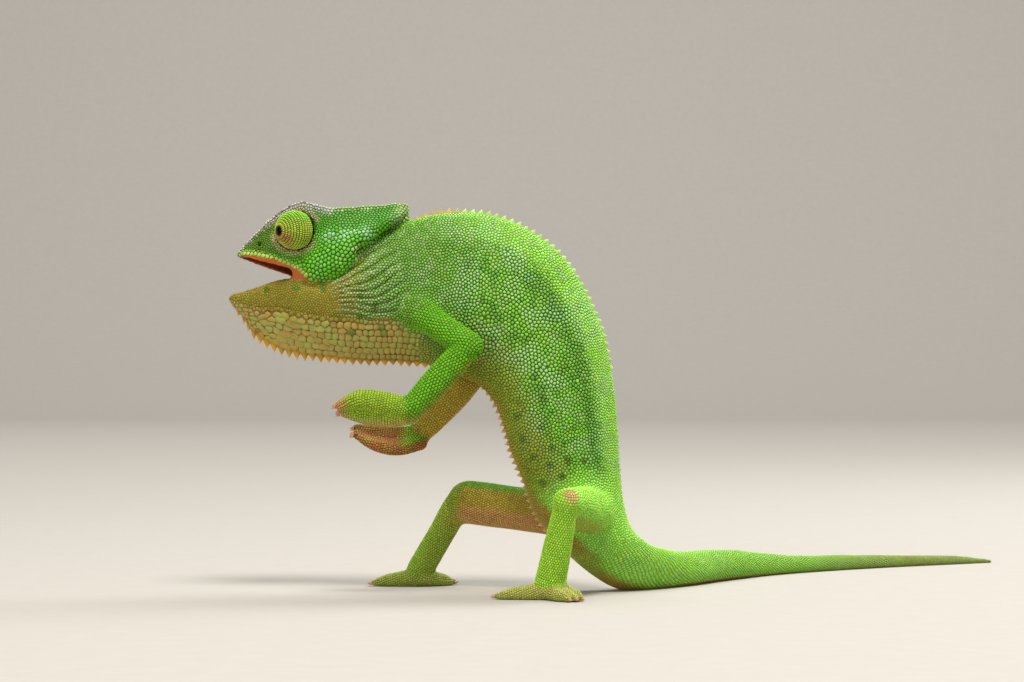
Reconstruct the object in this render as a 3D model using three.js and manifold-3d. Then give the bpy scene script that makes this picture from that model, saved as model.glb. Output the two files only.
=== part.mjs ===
// A chameleon rearing on its hind legs and tail, life size.
// Millimetres. X runs from the snout towards the tail tip, Y from its left side to its right, Z is up.
// The flesh is a few closed surfaces carried along curves, parted into named nodes by thin cuts.

import * as THREE from 'three';
import { mergeVertices } from 'three/addons/utils/BufferGeometryUtils.js';
import Module from 'manifold-3d';

const wasm = await Module();
wasm.setup();

const parting = 0.3;          // gap between two nodes that meet
const slabReach = 4;          // how far the slab that parts them reaches, in depths of the section
const spineSides = 16;        // points round a ring of the trunk
const headSides = 16;
const limbSides = 10;
const toeSides = 6;
const bodyStep = 6;           // distance between the rings of the body
const tailStep = 9;
const limbStep = 5;
const headRings = 14;
const turretSides = 12;
const eyeballSides = 8;
const ballRows = 0.6;         // rows of a ball for each of its sides
const domeTurns = [15, 45];   // degrees from the tip of a limb's round end to its rings
const floorLevel = 0;
const floorBlock = { across: 600, deep: 20 };

const skinGreen = { color: 0x6fbf1f, roughness: 0.6, metalness: 0 };
const bellyTan = { color: 0xa9a24a, roughness: 0.65, metalness: 0 };
const toeOrange = { color: 0xc98a4a, roughness: 0.6, metalness: 0 };
const turretLime = { color: 0x9acb2c, roughness: 0.55, metalness: 0 };
const eyeDark = { color: 0x120c08, roughness: 0.1, metalness: 0 };
const clawHorn = { color: 0x8b6a55, roughness: 0.4, metalness: 0 };

// Spine stations from the chin tip to the start of the tail. back and belly are the ends of a section
// [x, y, z]; width is its half-width, level the height of the widest place as a share of the section,
// top and bottom say how square (over 2) or keeled (under 2) its halves are, turn is the yaw in degrees.
const spineStations = [
  { back: [-67.0, 0, 69.5], belly: [-66.9, 0, 68.9], width: 0.7, level: 0.5, top: 2, bottom: 2 },
  { back: [-65.6, 0, 70.5], belly: [-65.7, 0, 66.9], width: 2.1, level: 0.6, top: 3, bottom: 1.7 },
  { back: [-63.4, 0, 71.0], belly: [-63.8, 0, 64.8], width: 3.3, level: 0.7, top: 4, bottom: 1.5 },
  { back: [-59.9, 0, 72.1], belly: [-60.3, 0, 60.6], width: 4.8, level: 0.76, top: 4, bottom: 1.4 },
  { back: [-52.6, 0, 74.1], belly: [-53.1, 0, 57.0], width: 6.8, level: 0.78, top: 4, bottom: 1.4 },
  { back: [-46.0, 0, 73.6], belly: [-46.0, 0, 55.6], width: 8.1, level: 0.74, top: 3, bottom: 1.45 },
  { back: [-39.4, 0, 76.5], belly: [-39.4, 0, 54.9], width: 8.9, level: 0.7, top: 2.6, bottom: 1.5 },
  { back: [-33.0, 0, 82.3], belly: [-33.3, 0, 54.5], width: 8.8, level: 0.62, top: 2.2, bottom: 1.55 },
  { back: [-26.0, 0, 86.7], belly: [-26.2, 0, 54.3], width: 8.5, level: 0.54, top: 1.9, bottom: 1.6 },
  { back: [-17.0, 0, 89.3], belly: [-18.6, 0, 53.2], width: 8.6, level: 0.5, top: 1.8, bottom: 1.7 },
  { back: [-2.8, 0, 88.2], belly: [-11.8, 0, 50.5], width: 9.7, level: 0.5, top: 1.8, bottom: 1.8 },
  { back: [11.3, 0, 79.7], belly: [-7.0, 0, 47.8], width: 10.6, level: 0.48, top: 1.8, bottom: 1.8 },
  { back: [20.6, 0, 63.6], belly: [-3.8, 0, 43.7], width: 10.7, level: 0.46, top: 1.8, bottom: 1.8 },
  { back: [23.5, 0, 52.3], belly: [-1.9, 0, 38.5], width: 10.2, level: 0.46, top: 1.85, bottom: 1.8 },
  { back: [24.9, 0, 40.5], belly: [-0.3, 0, 33.0], width: 9.4, level: 0.47, top: 1.9, bottom: 1.8 },
  { back: [25.6, 0, 29.2], belly: [2.5, 0, 26.2], width: 8.5, level: 0.5, top: 1.9, bottom: 1.8 },
  { back: [26.6, 0, 20.4], belly: [5.3, 0, 18.5], width: 7.8, level: 0.52, top: 2, bottom: 1.9 },
  { back: [28.4, 0.5, 15.0], belly: [9.8, 0, 12.2], width: 6.9, level: 0.55, top: 2, bottom: 2, turn: 5 },
  { back: [32.0, 2.5, 11.5], belly: [18.4, 1.0, 4.2], width: 5.6, level: 0.55, top: 2, bottom: 2, turn: 18 },
  { back: [36.6, 9.0, 9.6], belly: [26.6, 6.0, -0.2], width: 4.9, level: 0.5, top: 2, bottom: 2, turn: 40 },
];

// Tail stations [x, y, radius]. The tail lies on the floor, pressed a little flat beneath.
const tailStations = [
  [42.1, 20.5, 4.3],
  [49.0, 32.0, 4.1],
  [55.4, 41.5, 3.8],
  [61.5, 49.8, 3.25],
  [68.4, 57.5, 2.7],
  [75.6, 64.2, 2.35],
  [83.0, 70.6, 2.2],
  [90.2, 76.2, 2.05],
  [104.9, 86.0, 1.65],
  [119.9, 94.8, 1.25],
  [129.6, 99.8, 0.6],
];
const tailPress = 0.25;       // how far the round tail would sink into the floor

// The nodes along the spine: name, the station number where each ends, distance between its rings.
const spineNodes = [
  ['lower_jaw_and_throat', 6, bodyStep],
  ['neck', 9, bodyStep],
  ['trunk_front', 12, bodyStep],
  ['trunk_rear', 15, bodyStep],
  ['pelvis', 18, bodyStep],
  ['tail_1', 21, bodyStep],
  ['tail_2', 24, tailStep],
  ['tail_3', 27, tailStep],
  ['tail_4', 29, tailStep],
  ['tail_5', 30, tailStep],
];

// Skull stations along X. roof and lip are the heights of its top and bottom, pinch narrows the roof.
const skullStations = [
  { x: -65.0, roof: 81.1, lip: 79.9, width: 0.8, level: 0.5, top: 2, bottom: 3, pinch: 0.2 },
  { x: -63.4, roof: 82.8, lip: 79.3, width: 2.5, level: 0.3, top: 2.4, bottom: 5, pinch: 0.4 },
  { x: -59.9, roof: 86.8, lip: 78.1, width: 4.3, level: 0.28, top: 2.8, bottom: 5, pinch: 0.42 },
  { x: -55.4, roof: 90.6, lip: 76.7, width: 5.7, level: 0.3, top: 3.2, bottom: 5, pinch: 0.3 },
  { x: -49.8, roof: 93.0, lip: 74.9, width: 6.9, level: 0.34, top: 4, bottom: 5, pinch: 0.08 },
  { x: -46.0, roof: 92.2, lip: 73.1, width: 7.6, level: 0.36, top: 4, bottom: 4, pinch: 0.08 },
  { x: -42.4, roof: 91.9, lip: 72.5, width: 8.7, level: 0.42, top: 3.4, bottom: 3, pinch: 0.22 },
  { x: -38.4, roof: 92.7, lip: 74.2, width: 9.2, level: 0.4, top: 3, bottom: 2.6, pinch: 0.36 },
  { x: -34.4, roof: 93.0, lip: 80.0, width: 8.8, level: 0.3, top: 3, bottom: 2.8, pinch: 0.42 },
  { x: -29.6, roof: 93.0, lip: 84.6, width: 7.0, level: 0.25, top: 3, bottom: 3, pinch: 0.44 },
  { x: -26.0, roof: 93.0, lip: 87.3, width: 4.8, level: 0.3, top: 4, bottom: 4, pinch: 0.3 },
  { x: -24.2, roof: 92.5, lip: 88.6, width: 2.6, level: 0.5, top: 4, bottom: 4, pinch: 0 },
];

// The head leans: it is rolled about a line along X at its left side, so that its right side sinks.
const headRoll = { degrees: 10, y: -6.5, z: 84 };

const eye = {
  centre: [-50.8, 7.6, 84.8],    // of the left turret's ball, mirrored for the right
  radius: 4.65,
  forward: 50,                   // degrees that the gaze turns forward of straight out
  down: 11,
  ballRadius: 1.35,
  ballOut: 3.65,                 // how far the eyeball's centre sits out from the turret's centre
};

// Crests: rows of small spines on a line of the spine, from one station number to another. tall is the
// height of the first and tallEnd that of the last, foot the radius at the base.
const crests = {
  gular: { line: 'belly', from: 1.6, to: 9, pitch: 1.9, tall: 1.9, tallEnd: 1.0, foot: 0.95 },
  chest: { line: 'belly', from: 11, to: 17, pitch: 2.0, tall: 1.0, tallEnd: 0.8, foot: 0.7 },
  back: { line: 'back', from: 8.2, to: 13, pitch: 1.9, tall: 1.3, tallEnd: 0.5, foot: 0.85 },
};
const crestSides = 4;
const crestSearch = 0.02;     // share of a station by which the next spine's place is looked for
const crestClear = 1;         // how far a spine keeps from the cut between two nodes
const crestStart = 0.45;      // height of the first spine as a share of tall, growing to 1 by crestFull
const crestFull = 0.14;       // of the way along

// Limb joints [x, y, z] and radii, all measured on the animal's own left and right.
const limbs = {
  left: {
    arm: {
      shoulder: [-22.6, -6.5, 66.4], elbow: [-10.0, -13.2, 57.8], wrist: [-23.2, -13.0, 43.3],
      upperRadii: [4.2, 3.4, 3.5], foreRadii: [3.1, 3.5, 3.1],
    },
    leg: {
      hip: [18.6, -4.5, 19.4], thighEnd: [12.4, -26.0, 22.3],
      knee: [12.4, -26.0, 22.3], ankle: [8.8, -22.0, 4.2],
      thighRadii: [5.8, 4.8, 3.3], shinRadii: [2.9, 3.4, 3.7],
    },
  },
  right: {
    arm: {
      shoulder: [-20.6, 6.5, 64.4], elbow: [-7.6, 9.4, 52.4], wrist: [-21.2, 8.0, 37.8],
      upperRadii: [4.2, 3.4, 3.3], foreRadii: [2.9, 3.4, 2.9],
    },
    leg: {
      hip: [15.0, 4.5, 17.6], thighEnd: [-10.4, 14.0, 20.5],
      knee: [-13.4, 14.5, 19.2], ankle: [-22.2, 18.0, 4.0],
      thighRadii: [5.6, 5.3, 5.4], shinRadii: [3.6, 3.3, 3.4],
    },
  },
};

// A bundle of fused toes: middle is its centre line [x, y, z] from the wrist to the tip, spread the
// offset of the outermost toe at each place, radii each toe's radius there, across the fan direction.
const handBundles = {
  left: {
    outer: {
      toes: 2, across: [0, 1, 0.25],
      middle: [[-24.0, -13.2, 43.4], [-29.6, -13.6, 44.8], [-35.4, -13.4, 45.5], [-40.2, -12.8, 44.1]],
      spread: [0.6, 0.9, 1.0, 0.9], radii: [2.6, 2.6, 2.2, 1.0],
    },
    inner: {
      toes: 3, across: [0, 1, -0.3],
      middle: [[-23.6, -11.8, 41.8], [-28.9, -11.3, 41.0], [-34.6, -10.9, 41.6], [-39.6, -11.2, 42.4]],
      spread: [0.9, 1.9, 2.0, 1.4], radii: [2.2, 1.9, 1.5, 0.8],
    },
  },
  right: {
    outer: {
      toes: 2, across: [0, 1, -0.25],
      middle: [[-22.0, 8.4, 37.0], [-27.2, 9.0, 36.5], [-32.8, 8.8, 37.2], [-37.2, 8.2, 38.5]],
      spread: [0.6, 0.9, 1.0, 0.9], radii: [2.5, 2.3, 1.9, 0.9],
    },
    inner: {
      toes: 3, across: [0, 1, 0.3],
      middle: [[-22.0, 7.0, 35.4], [-27.0, 5.8, 34.1], [-32.6, 4.9, 35.0], [-37.2, 4.6, 37.1]],
      spread: [0.9, 1.8, 1.9, 1.3], radii: [2.2, 1.9, 1.5, 0.8],
    },
  },
};
const footBundles = {
  left: {
    inner: {
      toes: 2, across: [0, 1, 0],
      middle: [[8.2, -21.8, 2.3], [4.6, -21.4, 1.65], [0.6, -21.2, 1.35], [-3.4, -21.4, 0.75]],
      spread: [0.8, 1.3, 1.4, 1.1], radii: [2.6, 1.9, 1.6, 0.9],
    },
    outer: {
      toes: 3, across: [1, 0.6, 0],
      middle: [[9.6, -22.6, 2.3], [11.2, -24.8, 1.55], [12.8, -27.2, 1.25], [14.2, -29.6, 0.7]],
      spread: [1.2, 1.8, 2.1, 1.8], radii: [2.6, 1.8, 1.5, 0.85],
    },
  },
  right: {
    inner: {
      toes: 2, across: [0, 1, 0],
      middle: [[-22.8, 18.2, 2.3], [-26.4, 18.6, 1.75], [-30.2, 18.4, 1.35], [-33.4, 17.8, 0.75]],
      spread: [0.8, 1.3, 1.4, 1.1], radii: [2.6, 2.0, 1.6, 0.9],
    },
    outer: {
      toes: 3, across: [0, 1, 0],
      middle: [[-21.4, 18.4, 2.3], [-19.0, 19.6, 1.65], [-16.6, 20.8, 1.25], [-14.4, 22.0, 0.7]],
      spread: [1.2, 1.8, 2.1, 1.8], radii: [2.6, 1.9, 1.5, 0.85],
    },
  },
};
// A claw: length, radius at the root, sides, and how much it droops for each millimetre forward.
const claw = { long: 1.1, radius: 0.45, sides: 5, droop: { hand: 0.2, foot: 0 } };

const model = new THREE.Group();

// A closed surface from rings of equal length, with a flat fan over each end.
function closedRings(rings) {
  const sides = rings[0].length;
  const positions = rings.flat().flatMap((point) => point.toArray());
  const index = [];
  for (let ring = 0; ring + 1 < rings.length; ring++) {
    for (let side = 0; side < sides; side++) {
      const here = ring * sides + side;
      const beside = ring * sides + (side + 1) % sides;
      index.push(here, beside, here + sides, beside, beside + sides, here + sides);
    }
  }
  const ends = [rings[0], rings[rings.length - 1]];
  ends.forEach((ring, end) => {
    const centre = ring.reduce((sum, point) => sum.add(point), new THREE.Vector3()).divideScalar(sides);
    const first = end * (rings.length - 1) * sides;
    const hub = positions.length / 3;
    positions.push(...centre.toArray());
    for (let side = 0; side < sides; side++) {
      const pair = [first + side, first + (side + 1) % sides];
      if (end === 0) pair.reverse();
      index.push(hub, ...pair);
    }
  });
  const geometry = new THREE.BufferGeometry();
  geometry.setAttribute('position', new THREE.Float32BufferAttribute(positions, 3));
  geometry.setIndex(index);
  return geometry;
}

// Turns a closed geometry into a solid, turning its faces outwards first.
function solid(geometry) {
  const bare = geometry.clone();
  bare.deleteAttribute('normal');
  bare.deleteAttribute('uv');
  const merged = mergeVertices(bare, 1e-5);
  const vertProperties = new Float32Array(merged.attributes.position.array);
  const triVerts = new Uint32Array(merged.index.array);
  if (signedVolume(vertProperties, triVerts) < 0) {
    for (let corner = 0; corner < triVerts.length; corner += 3) {
      [triVerts[corner], triVerts[corner + 1]] = [triVerts[corner + 1], triVerts[corner]];
    }
  }
  return new wasm.Manifold(new wasm.Mesh({ numProp: 3, vertProperties, triVerts }));
}

function signedVolume(points, corners) {
  const [a, b, c] = [new THREE.Vector3(), new THREE.Vector3(), new THREE.Vector3()];
  let volume = 0;
  for (let at = 0; at < corners.length; at += 3) {
    a.fromArray(points, corners[at] * 3);
    b.fromArray(points, corners[at + 1] * 3);
    c.fromArray(points, corners[at + 2] * 3);
    volume += a.dot(b.cross(c)) / 6;
  }
  return volume;
}

function addNode(name, body, look) {
  const mesh = body.getMesh();
  const geometry = new THREE.BufferGeometry();
  geometry.setAttribute('position', new THREE.Float32BufferAttribute(mesh.vertProperties, 3));
  geometry.setIndex([...mesh.triVerts]);
  const node = new THREE.Mesh(geometry, new THREE.MeshStandardMaterial(look));
  node.name = name;
  model.add(node);
}

// One half of a section is a superellipse: across = width * cos^(2/power), up = height * sin^(2/power).
function sectionPoint(angle, size, grow) {
  const rise = Math.sin(angle);
  const run = Math.cos(angle);
  const power = rise > 0 ? size.top : size.bottom;
  const share = Math.abs(rise) ** (2 / power);
  const height = (rise > 0 ? 1 - size.level : size.level) * size.depth + grow;
  const narrowing = 1 - (rise > 0 ? size.pinch * share : 0);
  return {
    across: Math.sign(run) * Math.abs(run) ** (2 / power) * (size.width + grow) * narrowing,
    up: Math.sign(rise) * share * height,
  };
}

function curveThrough(points) {
  return new THREE.CatmullRomCurve3(points.map((point) => new THREE.Vector3(...point)));
}

function allSpineStations() {
  const tail = tailStations.map(([x, y, radius], row) => {
    const before = tailStations[Math.max(row - 1, 0)];
    const after = tailStations[Math.min(row + 1, tailStations.length - 1)];
    const turn = THREE.MathUtils.radToDeg(Math.atan2(after[1] - before[1], after[0] - before[0]));
    return {
      back: [x, y, 2 * radius - tailPress], belly: [x, y, -tailPress],
      width: radius, level: 0.5, top: 2, bottom: 2, turn,
    };
  });
  return [...spineStations, ...tail];
}

const stations = allSpineStations();
const lastStation = stations.length - 1;
const backCurve = curveThrough(stations.map((row) => row.back));
const bellyCurve = curveThrough(stations.map((row) => row.belly));
const widthCurve = curveThrough(stations.map((row) => [row.width, row.level, row.turn ?? 0]));
const powerCurve = curveThrough(stations.map((row) => [row.top, row.bottom, 0]));

// The section of the spine at a station number, which may fall between two stations.
function spineSection(at) {
  const t = at / lastStation;
  const back = backCurve.getPoint(t);
  const belly = bellyCurve.getPoint(t);
  const [width, level, turn] = widthCurve.getPoint(t).toArray();
  const [top, bottom] = powerCurve.getPoint(t).toArray();
  const yaw = THREE.MathUtils.degToRad(turn);
  const up = back.clone().sub(belly);
  return {
    back, belly,
    size: { width, level, top, bottom, pinch: 0, depth: up.length() },
    origin: belly.clone().lerp(back, level),
    side: new THREE.Vector3(-Math.sin(yaw), Math.cos(yaw), 0),
    up: up.normalize(),
  };
}

function spineLength(from, to, samples = 8) {
  const places = Array.from({ length: samples + 1 }, (_, step) => {
    return spineSection(THREE.MathUtils.lerp(from, to, step / samples)).origin;
  });
  return places.slice(1).reduce((sum, place, step) => sum + place.distanceTo(places[step]), 0);
}

function spineRing(at, grow = 0) {
  const section = spineSection(at);
  return Array.from({ length: spineSides }, (_, step) => {
    const place = sectionPoint((step / spineSides) * 2 * Math.PI, section.size, grow);
    return section.origin.clone()
      .addScaledVector(section.side, place.across)
      .addScaledVector(section.up, place.up);
  });
}

// The flesh of the spine between two station numbers.
function spineBody(from, to, { ringStep = bodyStep, grow = 0 } = {}) {
  const steps = Math.max(2, Math.round(spineLength(from, to) / ringStep));
  const rings = Array.from({ length: steps + 1 }, (_, step) => {
    return spineRing(THREE.MathUtils.lerp(from, to, step / steps), grow);
  });
  return solid(closedRings(rings));
}

// A thin slab in the plane of a section, which parts two nodes.
function partingSlab(at) {
  const section = spineSection(at);
  const normal = section.side.clone().cross(section.up).normalize();
  const up = normal.clone().cross(section.side).normalize();
  const reach = slabReach * section.size.depth;
  const slab = new THREE.BoxGeometry(reach, reach, parting);
  slab.applyMatrix4(new THREE.Matrix4().makeBasis(section.side, up, normal).setPosition(section.origin));
  return solid(slab);
}

// Spines of a crest: cones that stand out from a line of the spine, a pitch apart, rooted by their foot.
function crestSpines({ line, from, to, pitch, tall, tallEnd, foot }) {
  const spines = [];
  let last = new THREE.Vector3(Infinity, 0, 0);
  for (let at = from; at <= to; at += crestSearch) {
    const section = spineSection(at);
    const place = section[line];
    if (place.distanceTo(last) < pitch) continue;
    last = place;
    const share = (at - from) / (to - from);
    const grown = Math.min(1, crestStart + (1 - crestStart) * (share / crestFull));
    const height = THREE.MathUtils.lerp(tall, tallEnd, share) * grown;
    const out = section.up.clone().multiplyScalar(line === 'back' ? 1 : -1);
    const cone = new THREE.ConeGeometry(foot, height + foot, crestSides);
    cone.translate(0, (height - foot) / 2, 0);
    cone.applyQuaternion(new THREE.Quaternion().setFromUnitVectors(new THREE.Vector3(0, 1, 0), out));
    cone.translate(...place.toArray());
    spines.push({ at, line, place, body: solid(cone) });
  }
  return spines;
}

const skullCurves = {
  heights: curveThrough(skullStations.map((row) => [row.x, row.lip, row.roof])),
  sizes: curveThrough(skullStations.map((row) => [row.width, row.level, row.pinch])),
  powers: curveThrough(skullStations.map((row) => [row.top, row.bottom, 0])),
};

function rolled(point) {
  const angle = THREE.MathUtils.degToRad(headRoll.degrees);
  const across = point.y - headRoll.y;
  const above = point.z - headRoll.z;
  return new THREE.Vector3(
    point.x,
    headRoll.y + across * Math.cos(angle) + above * Math.sin(angle),
    headRoll.z + above * Math.cos(angle) - across * Math.sin(angle),
  );
}

// The skull with its upper jaw and casque, as upright sections along X, then rolled.
function skullBody(grow = 0) {
  const rings = Array.from({ length: headRings }, (_, ring) => {
    const t = ring / (headRings - 1);
    const [x, lip, roof] = skullCurves.heights.getPoint(t).toArray();
    const [width, level, pinch] = skullCurves.sizes.getPoint(t).toArray();
    const [top, bottom] = skullCurves.powers.getPoint(t).toArray();
    const size = { width, level, pinch, top, bottom, depth: roof - lip };
    const ends = grow * (2 * t - 1);
    return Array.from({ length: headSides }, (_, side) => {
      const place = sectionPoint((side / headSides) * 2 * Math.PI, size, grow);
      return rolled(new THREE.Vector3(x + ends, place.across, lip + level * size.depth + place.up));
    });
  });
  return solid(closedRings(rings));
}

// A round limb through a few places with a radius at each, its ends domed.
function limbBody(places, radii, { sides = limbSides, grow = 0, startTurns = domeTurns } = {}) {
  const path = curveThrough(places);
  const sizes = curveThrough(radii.map((radius) => [radius, 0, 0]));
  const steps = Math.max(3, Math.round(path.getLength() / limbStep));
  const frames = path.computeFrenetFrames(steps);
  const ringAt = (step, shrink, forward) => {
    const centre = path.getPoint(step / steps).addScaledVector(frames.tangents[step], forward);
    const radius = (sizes.getPoint(step / steps).x + grow) * shrink;
    return Array.from({ length: sides }, (_, side) => {
      const angle = (side / sides) * 2 * Math.PI;
      return centre.clone()
        .addScaledVector(frames.normals[step], Math.cos(angle) * radius)
        .addScaledVector(frames.binormals[step], Math.sin(angle) * radius);
    });
  };
  const startRadius = radii[0] + grow;
  const endRadius = radii[radii.length - 1] + grow;
  const dome = (step, turns, radius) => turns.map(THREE.MathUtils.degToRad).map((turn) => {
    return ringAt(step, Math.sin(turn), Math.cos(turn) * radius);
  });
  const start = dome(0, startTurns, -startRadius);
  const middle = Array.from({ length: steps + 1 }, (_, step) => ringAt(step, 1, 0));
  const end = dome(steps, domeTurns, endRadius);
  return solid(closedRings([...start, ...middle, ...end.reverse()]));
}

function ball(centre, radius, sides) {
  const sphere = new THREE.SphereGeometry(radius, sides, Math.round(sides * ballRows));
  sphere.translate(...centre);
  return solid(sphere);
}

function cutAway(body, neighbours) {
  return neighbours.reduce((rest, neighbour) => rest.subtract(neighbour), body);
}

function joined(bodies) {
  return bodies.reduce((whole, body) => whole.add(body));
}

function underFloor() {
  const block = new THREE.BoxGeometry(floorBlock.across, floorBlock.across, floorBlock.deep);
  block.translate(0, 0, floorLevel - floorBlock.deep / 2);
  return solid(block);
}

// Eyes: a round turret of lidded skin on each side, with the small eyeball at its opening.
function eyeParts(mirror) {
  const yaw = THREE.MathUtils.degToRad(eye.forward);
  const pitch = THREE.MathUtils.degToRad(eye.down);
  const [x, out, z] = eye.centre;
  const gaze = new THREE.Vector3(-Math.sin(yaw), mirror * Math.cos(yaw), -Math.sin(pitch)).normalize();
  const straight = new THREE.Vector3(x, mirror * out, z);
  const centre = rolled(straight);
  const ballCentre = rolled(straight.addScaledVector(gaze, eye.ballOut));
  return {
    turret: cutAway(
      ball(centre.toArray(), eye.radius, turretSides),
      [ball(ballCentre.toArray(), eye.ballRadius + parting, eyeballSides)],
    ),
    turretRoom: ball(centre.toArray(), eye.radius + parting, turretSides),
    eyeball: ball(ballCentre.toArray(), eye.ballRadius, eyeballSides),
  };
}

function addHead() {
  const eyes = { left: eyeParts(-1), right: eyeParts(1) };
  addNode('head', cutAway(skullBody(), Object.values(eyes).map((parts) => parts.turretRoom)), skinGreen);
  Object.entries(eyes).forEach(([side, parts]) => {
    addNode(`eye_turret_${side}`, parts.turret, turretLime);
    addNode(`eye_${side}`, parts.eyeball, eyeDark);
  });
}

function addSpine() {
  const skullRoom = skullBody(parting);
  const floor = underFloor();
  const spines = Object.values(crests).flatMap(crestSpines);
  let from = 0;
  spineNodes.forEach(([name, to, ringStep]) => {
    const clear = ({ place, line }) => [from, to].every((cut) => {
      return place.distanceTo(spineSection(cut)[line]) > crestClear;
    });
    const own = spines.filter((row) => row.at > from && row.at < to && clear(row)).map((row) => row.body);
    const whole = joined([spineBody(from, to, { ringStep }), ...own]);
    const slabs = [from, to].filter((at) => at > 0 && at < lastStation).map(partingSlab);
    addNode(name, cutAway(whole, [skullRoom, floor, ...slabs]), from === 0 ? bellyTan : skinGreen);
    from = to;
  });
}

// The centre lines of the toes in a bundle, fanned out along its across direction.
function toeLines({ toes, across, middle, spread }) {
  const fan = new THREE.Vector3(...across).normalize();
  return Array.from({ length: toes }, (_, toe) => {
    const share = (2 * toe) / (toes - 1) - 1;
    return middle.map((place, at) => {
      return new THREE.Vector3(...place).addScaledVector(fan, share * spread[at]).toArray();
    });
  });
}

function bundleBody(bundle, grow = 0) {
  const shape = { sides: toeSides, grow, startTurns: [] };
  return joined(toeLines(bundle).map((line) => limbBody(line, bundle.radii, shape)));
}

// A claw stands just off the tip of a toe, drooping a little on a hand and level on a foot.
function clawBody(kind, line, tipRadius) {
  const [before, tip] = line.slice(-2).map((place) => new THREE.Vector3(...place));
  const along = tip.clone().sub(before).setZ(0).normalize();
  along.z -= claw.droop[kind];
  along.normalize();
  const cone = new THREE.ConeGeometry(claw.radius, claw.long, claw.sides);
  cone.translate(0, claw.long / 2 + tipRadius + parting, 0);
  cone.applyQuaternion(new THREE.Quaternion().setFromUnitVectors(new THREE.Vector3(0, 1, 0), along));
  cone.translate(...tip.toArray());
  return solid(cone);
}

// Two bundles of fused toes, which meet like a mitten, and a claw on each toe.
function addToes(side, kind, bundles, neighbours) {
  const floor = underFloor();
  const rooms = Object.values(bundles).map((bundle) => bundleBody(bundle, parting));
  let before = [...neighbours];
  Object.entries(bundles).forEach(([place, bundle], order) => {
    addNode(`${kind}_${side}_${place}`, cutAway(bundleBody(bundle), [...before, floor]), toeOrange);
    before = [...before, rooms[order]];
    toeLines(bundle).forEach((line, toe) => {
      const horn = clawBody(kind, line, bundle.radii.at(-1));
      addNode(`claw_${kind}_${side}_${place}_${toe + 1}`, horn, clawHorn);
    });
  });
}

// An arm or leg: the upper length, the lower length against it, then the toes.
function addLimb(side, names, lengths, bundles, trunkRoom) {
  const [upper, lower] = lengths;
  const upperRoom = limbBody(upper.places, upper.radii, { grow: parting });
  const lowerRoom = limbBody(lower.places, lower.radii, { grow: parting });
  const upperBody = limbBody(upper.places, upper.radii);
  const lowerBody = limbBody(lower.places, lower.radii);
  addNode(`${names.upper}_${side}`, cutAway(upperBody, [trunkRoom]), skinGreen);
  addNode(`${names.lower}_${side}`, cutAway(lowerBody, [trunkRoom, upperRoom]), skinGreen);
  addToes(side, names.end, bundles, [lowerRoom]);
}

function addLimbs() {
  const chestRoom = spineBody(6, 14, { grow: parting });
  const hipRoom = spineBody(13, 20, { grow: parting });
  Object.entries(limbs).forEach(([side, { arm, leg }]) => {
    addLimb(side, { upper: 'upper_arm', lower: 'forearm', end: 'hand' }, [
      { places: [arm.shoulder, midway(arm.shoulder, arm.elbow), arm.elbow], radii: arm.upperRadii },
      { places: [arm.elbow, midway(arm.elbow, arm.wrist), arm.wrist], radii: arm.foreRadii },
    ], handBundles[side], chestRoom);
    addLimb(side, { upper: 'thigh', lower: 'shin', end: 'foot' }, [
      { places: [leg.hip, midway(leg.hip, leg.thighEnd), leg.thighEnd], radii: leg.thighRadii },
      { places: [leg.knee, midway(leg.knee, leg.ankle), leg.ankle], radii: leg.shinRadii },
    ], footBundles[side], hipRoom);
  });
}

function midway(a, b) {
  return a.map((value, axis) => (value + b[axis]) / 2);
}

addHead();
addSpine();
addLimbs();

// The origin is the middle of the animal's box, at the level of the floor.
model.updateMatrixWorld(true);
const box = new THREE.Box3().setFromObject(model);
const middle = box.getCenter(new THREE.Vector3());
model.position.set(-middle.x, -middle.y, -floorLevel);

export default model;
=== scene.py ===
import math
import bpy
import numpy as np
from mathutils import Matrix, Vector
from mathutils.bvhtree import BVHTree
from mathutils.kdtree import KDTree


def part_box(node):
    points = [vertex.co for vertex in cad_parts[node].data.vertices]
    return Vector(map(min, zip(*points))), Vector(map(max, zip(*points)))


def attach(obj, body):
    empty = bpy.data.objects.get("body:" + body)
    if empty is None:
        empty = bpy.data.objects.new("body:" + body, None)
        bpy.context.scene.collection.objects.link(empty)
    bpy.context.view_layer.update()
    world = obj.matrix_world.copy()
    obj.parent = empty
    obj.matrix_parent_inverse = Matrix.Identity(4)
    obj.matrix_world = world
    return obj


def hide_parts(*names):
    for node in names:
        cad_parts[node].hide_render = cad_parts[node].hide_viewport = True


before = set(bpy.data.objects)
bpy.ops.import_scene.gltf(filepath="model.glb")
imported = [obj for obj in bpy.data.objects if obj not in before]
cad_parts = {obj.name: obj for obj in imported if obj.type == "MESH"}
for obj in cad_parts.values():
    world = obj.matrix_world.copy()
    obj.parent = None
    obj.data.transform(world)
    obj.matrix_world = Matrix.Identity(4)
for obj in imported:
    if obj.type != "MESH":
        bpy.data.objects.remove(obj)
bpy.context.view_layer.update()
rng = np.random.default_rng(7)
mm = 0.001

# Places below are in millimetres from the chameleon's own middle, snout to the left and floor at 0.
snoutTip = -65.0
chinTip = -67.0
jawLow, jawHigh = np.array(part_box("lower_jaw_and_throat")) / mm
home = np.array([jawLow[0] - chinTip, (jawLow[1] + jawHigh[1]) / 2, 0.0])


def toFrame(points):
    return (np.asarray(points) + home) * mm


def smooth(edge0, edge1, x):  # 0 before edge0, 1 after edge1, an S curve between
    t = np.clip((x - edge0) / (edge1 - edge0), 0, 1)
    return t * t * (3 - 2 * t)


def hill(x, middle, width):  # 1 at middle, falling as exp(-(distance / width)^2)
    return np.exp(-((x - middle) / width) ** 2)


def toward(value, target, share):
    return value + (target - value) * share


def unit(vectors):
    return vectors / np.maximum(np.linalg.norm(vectors, axis=-1, keepdims=True), 1e-9)


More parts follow.
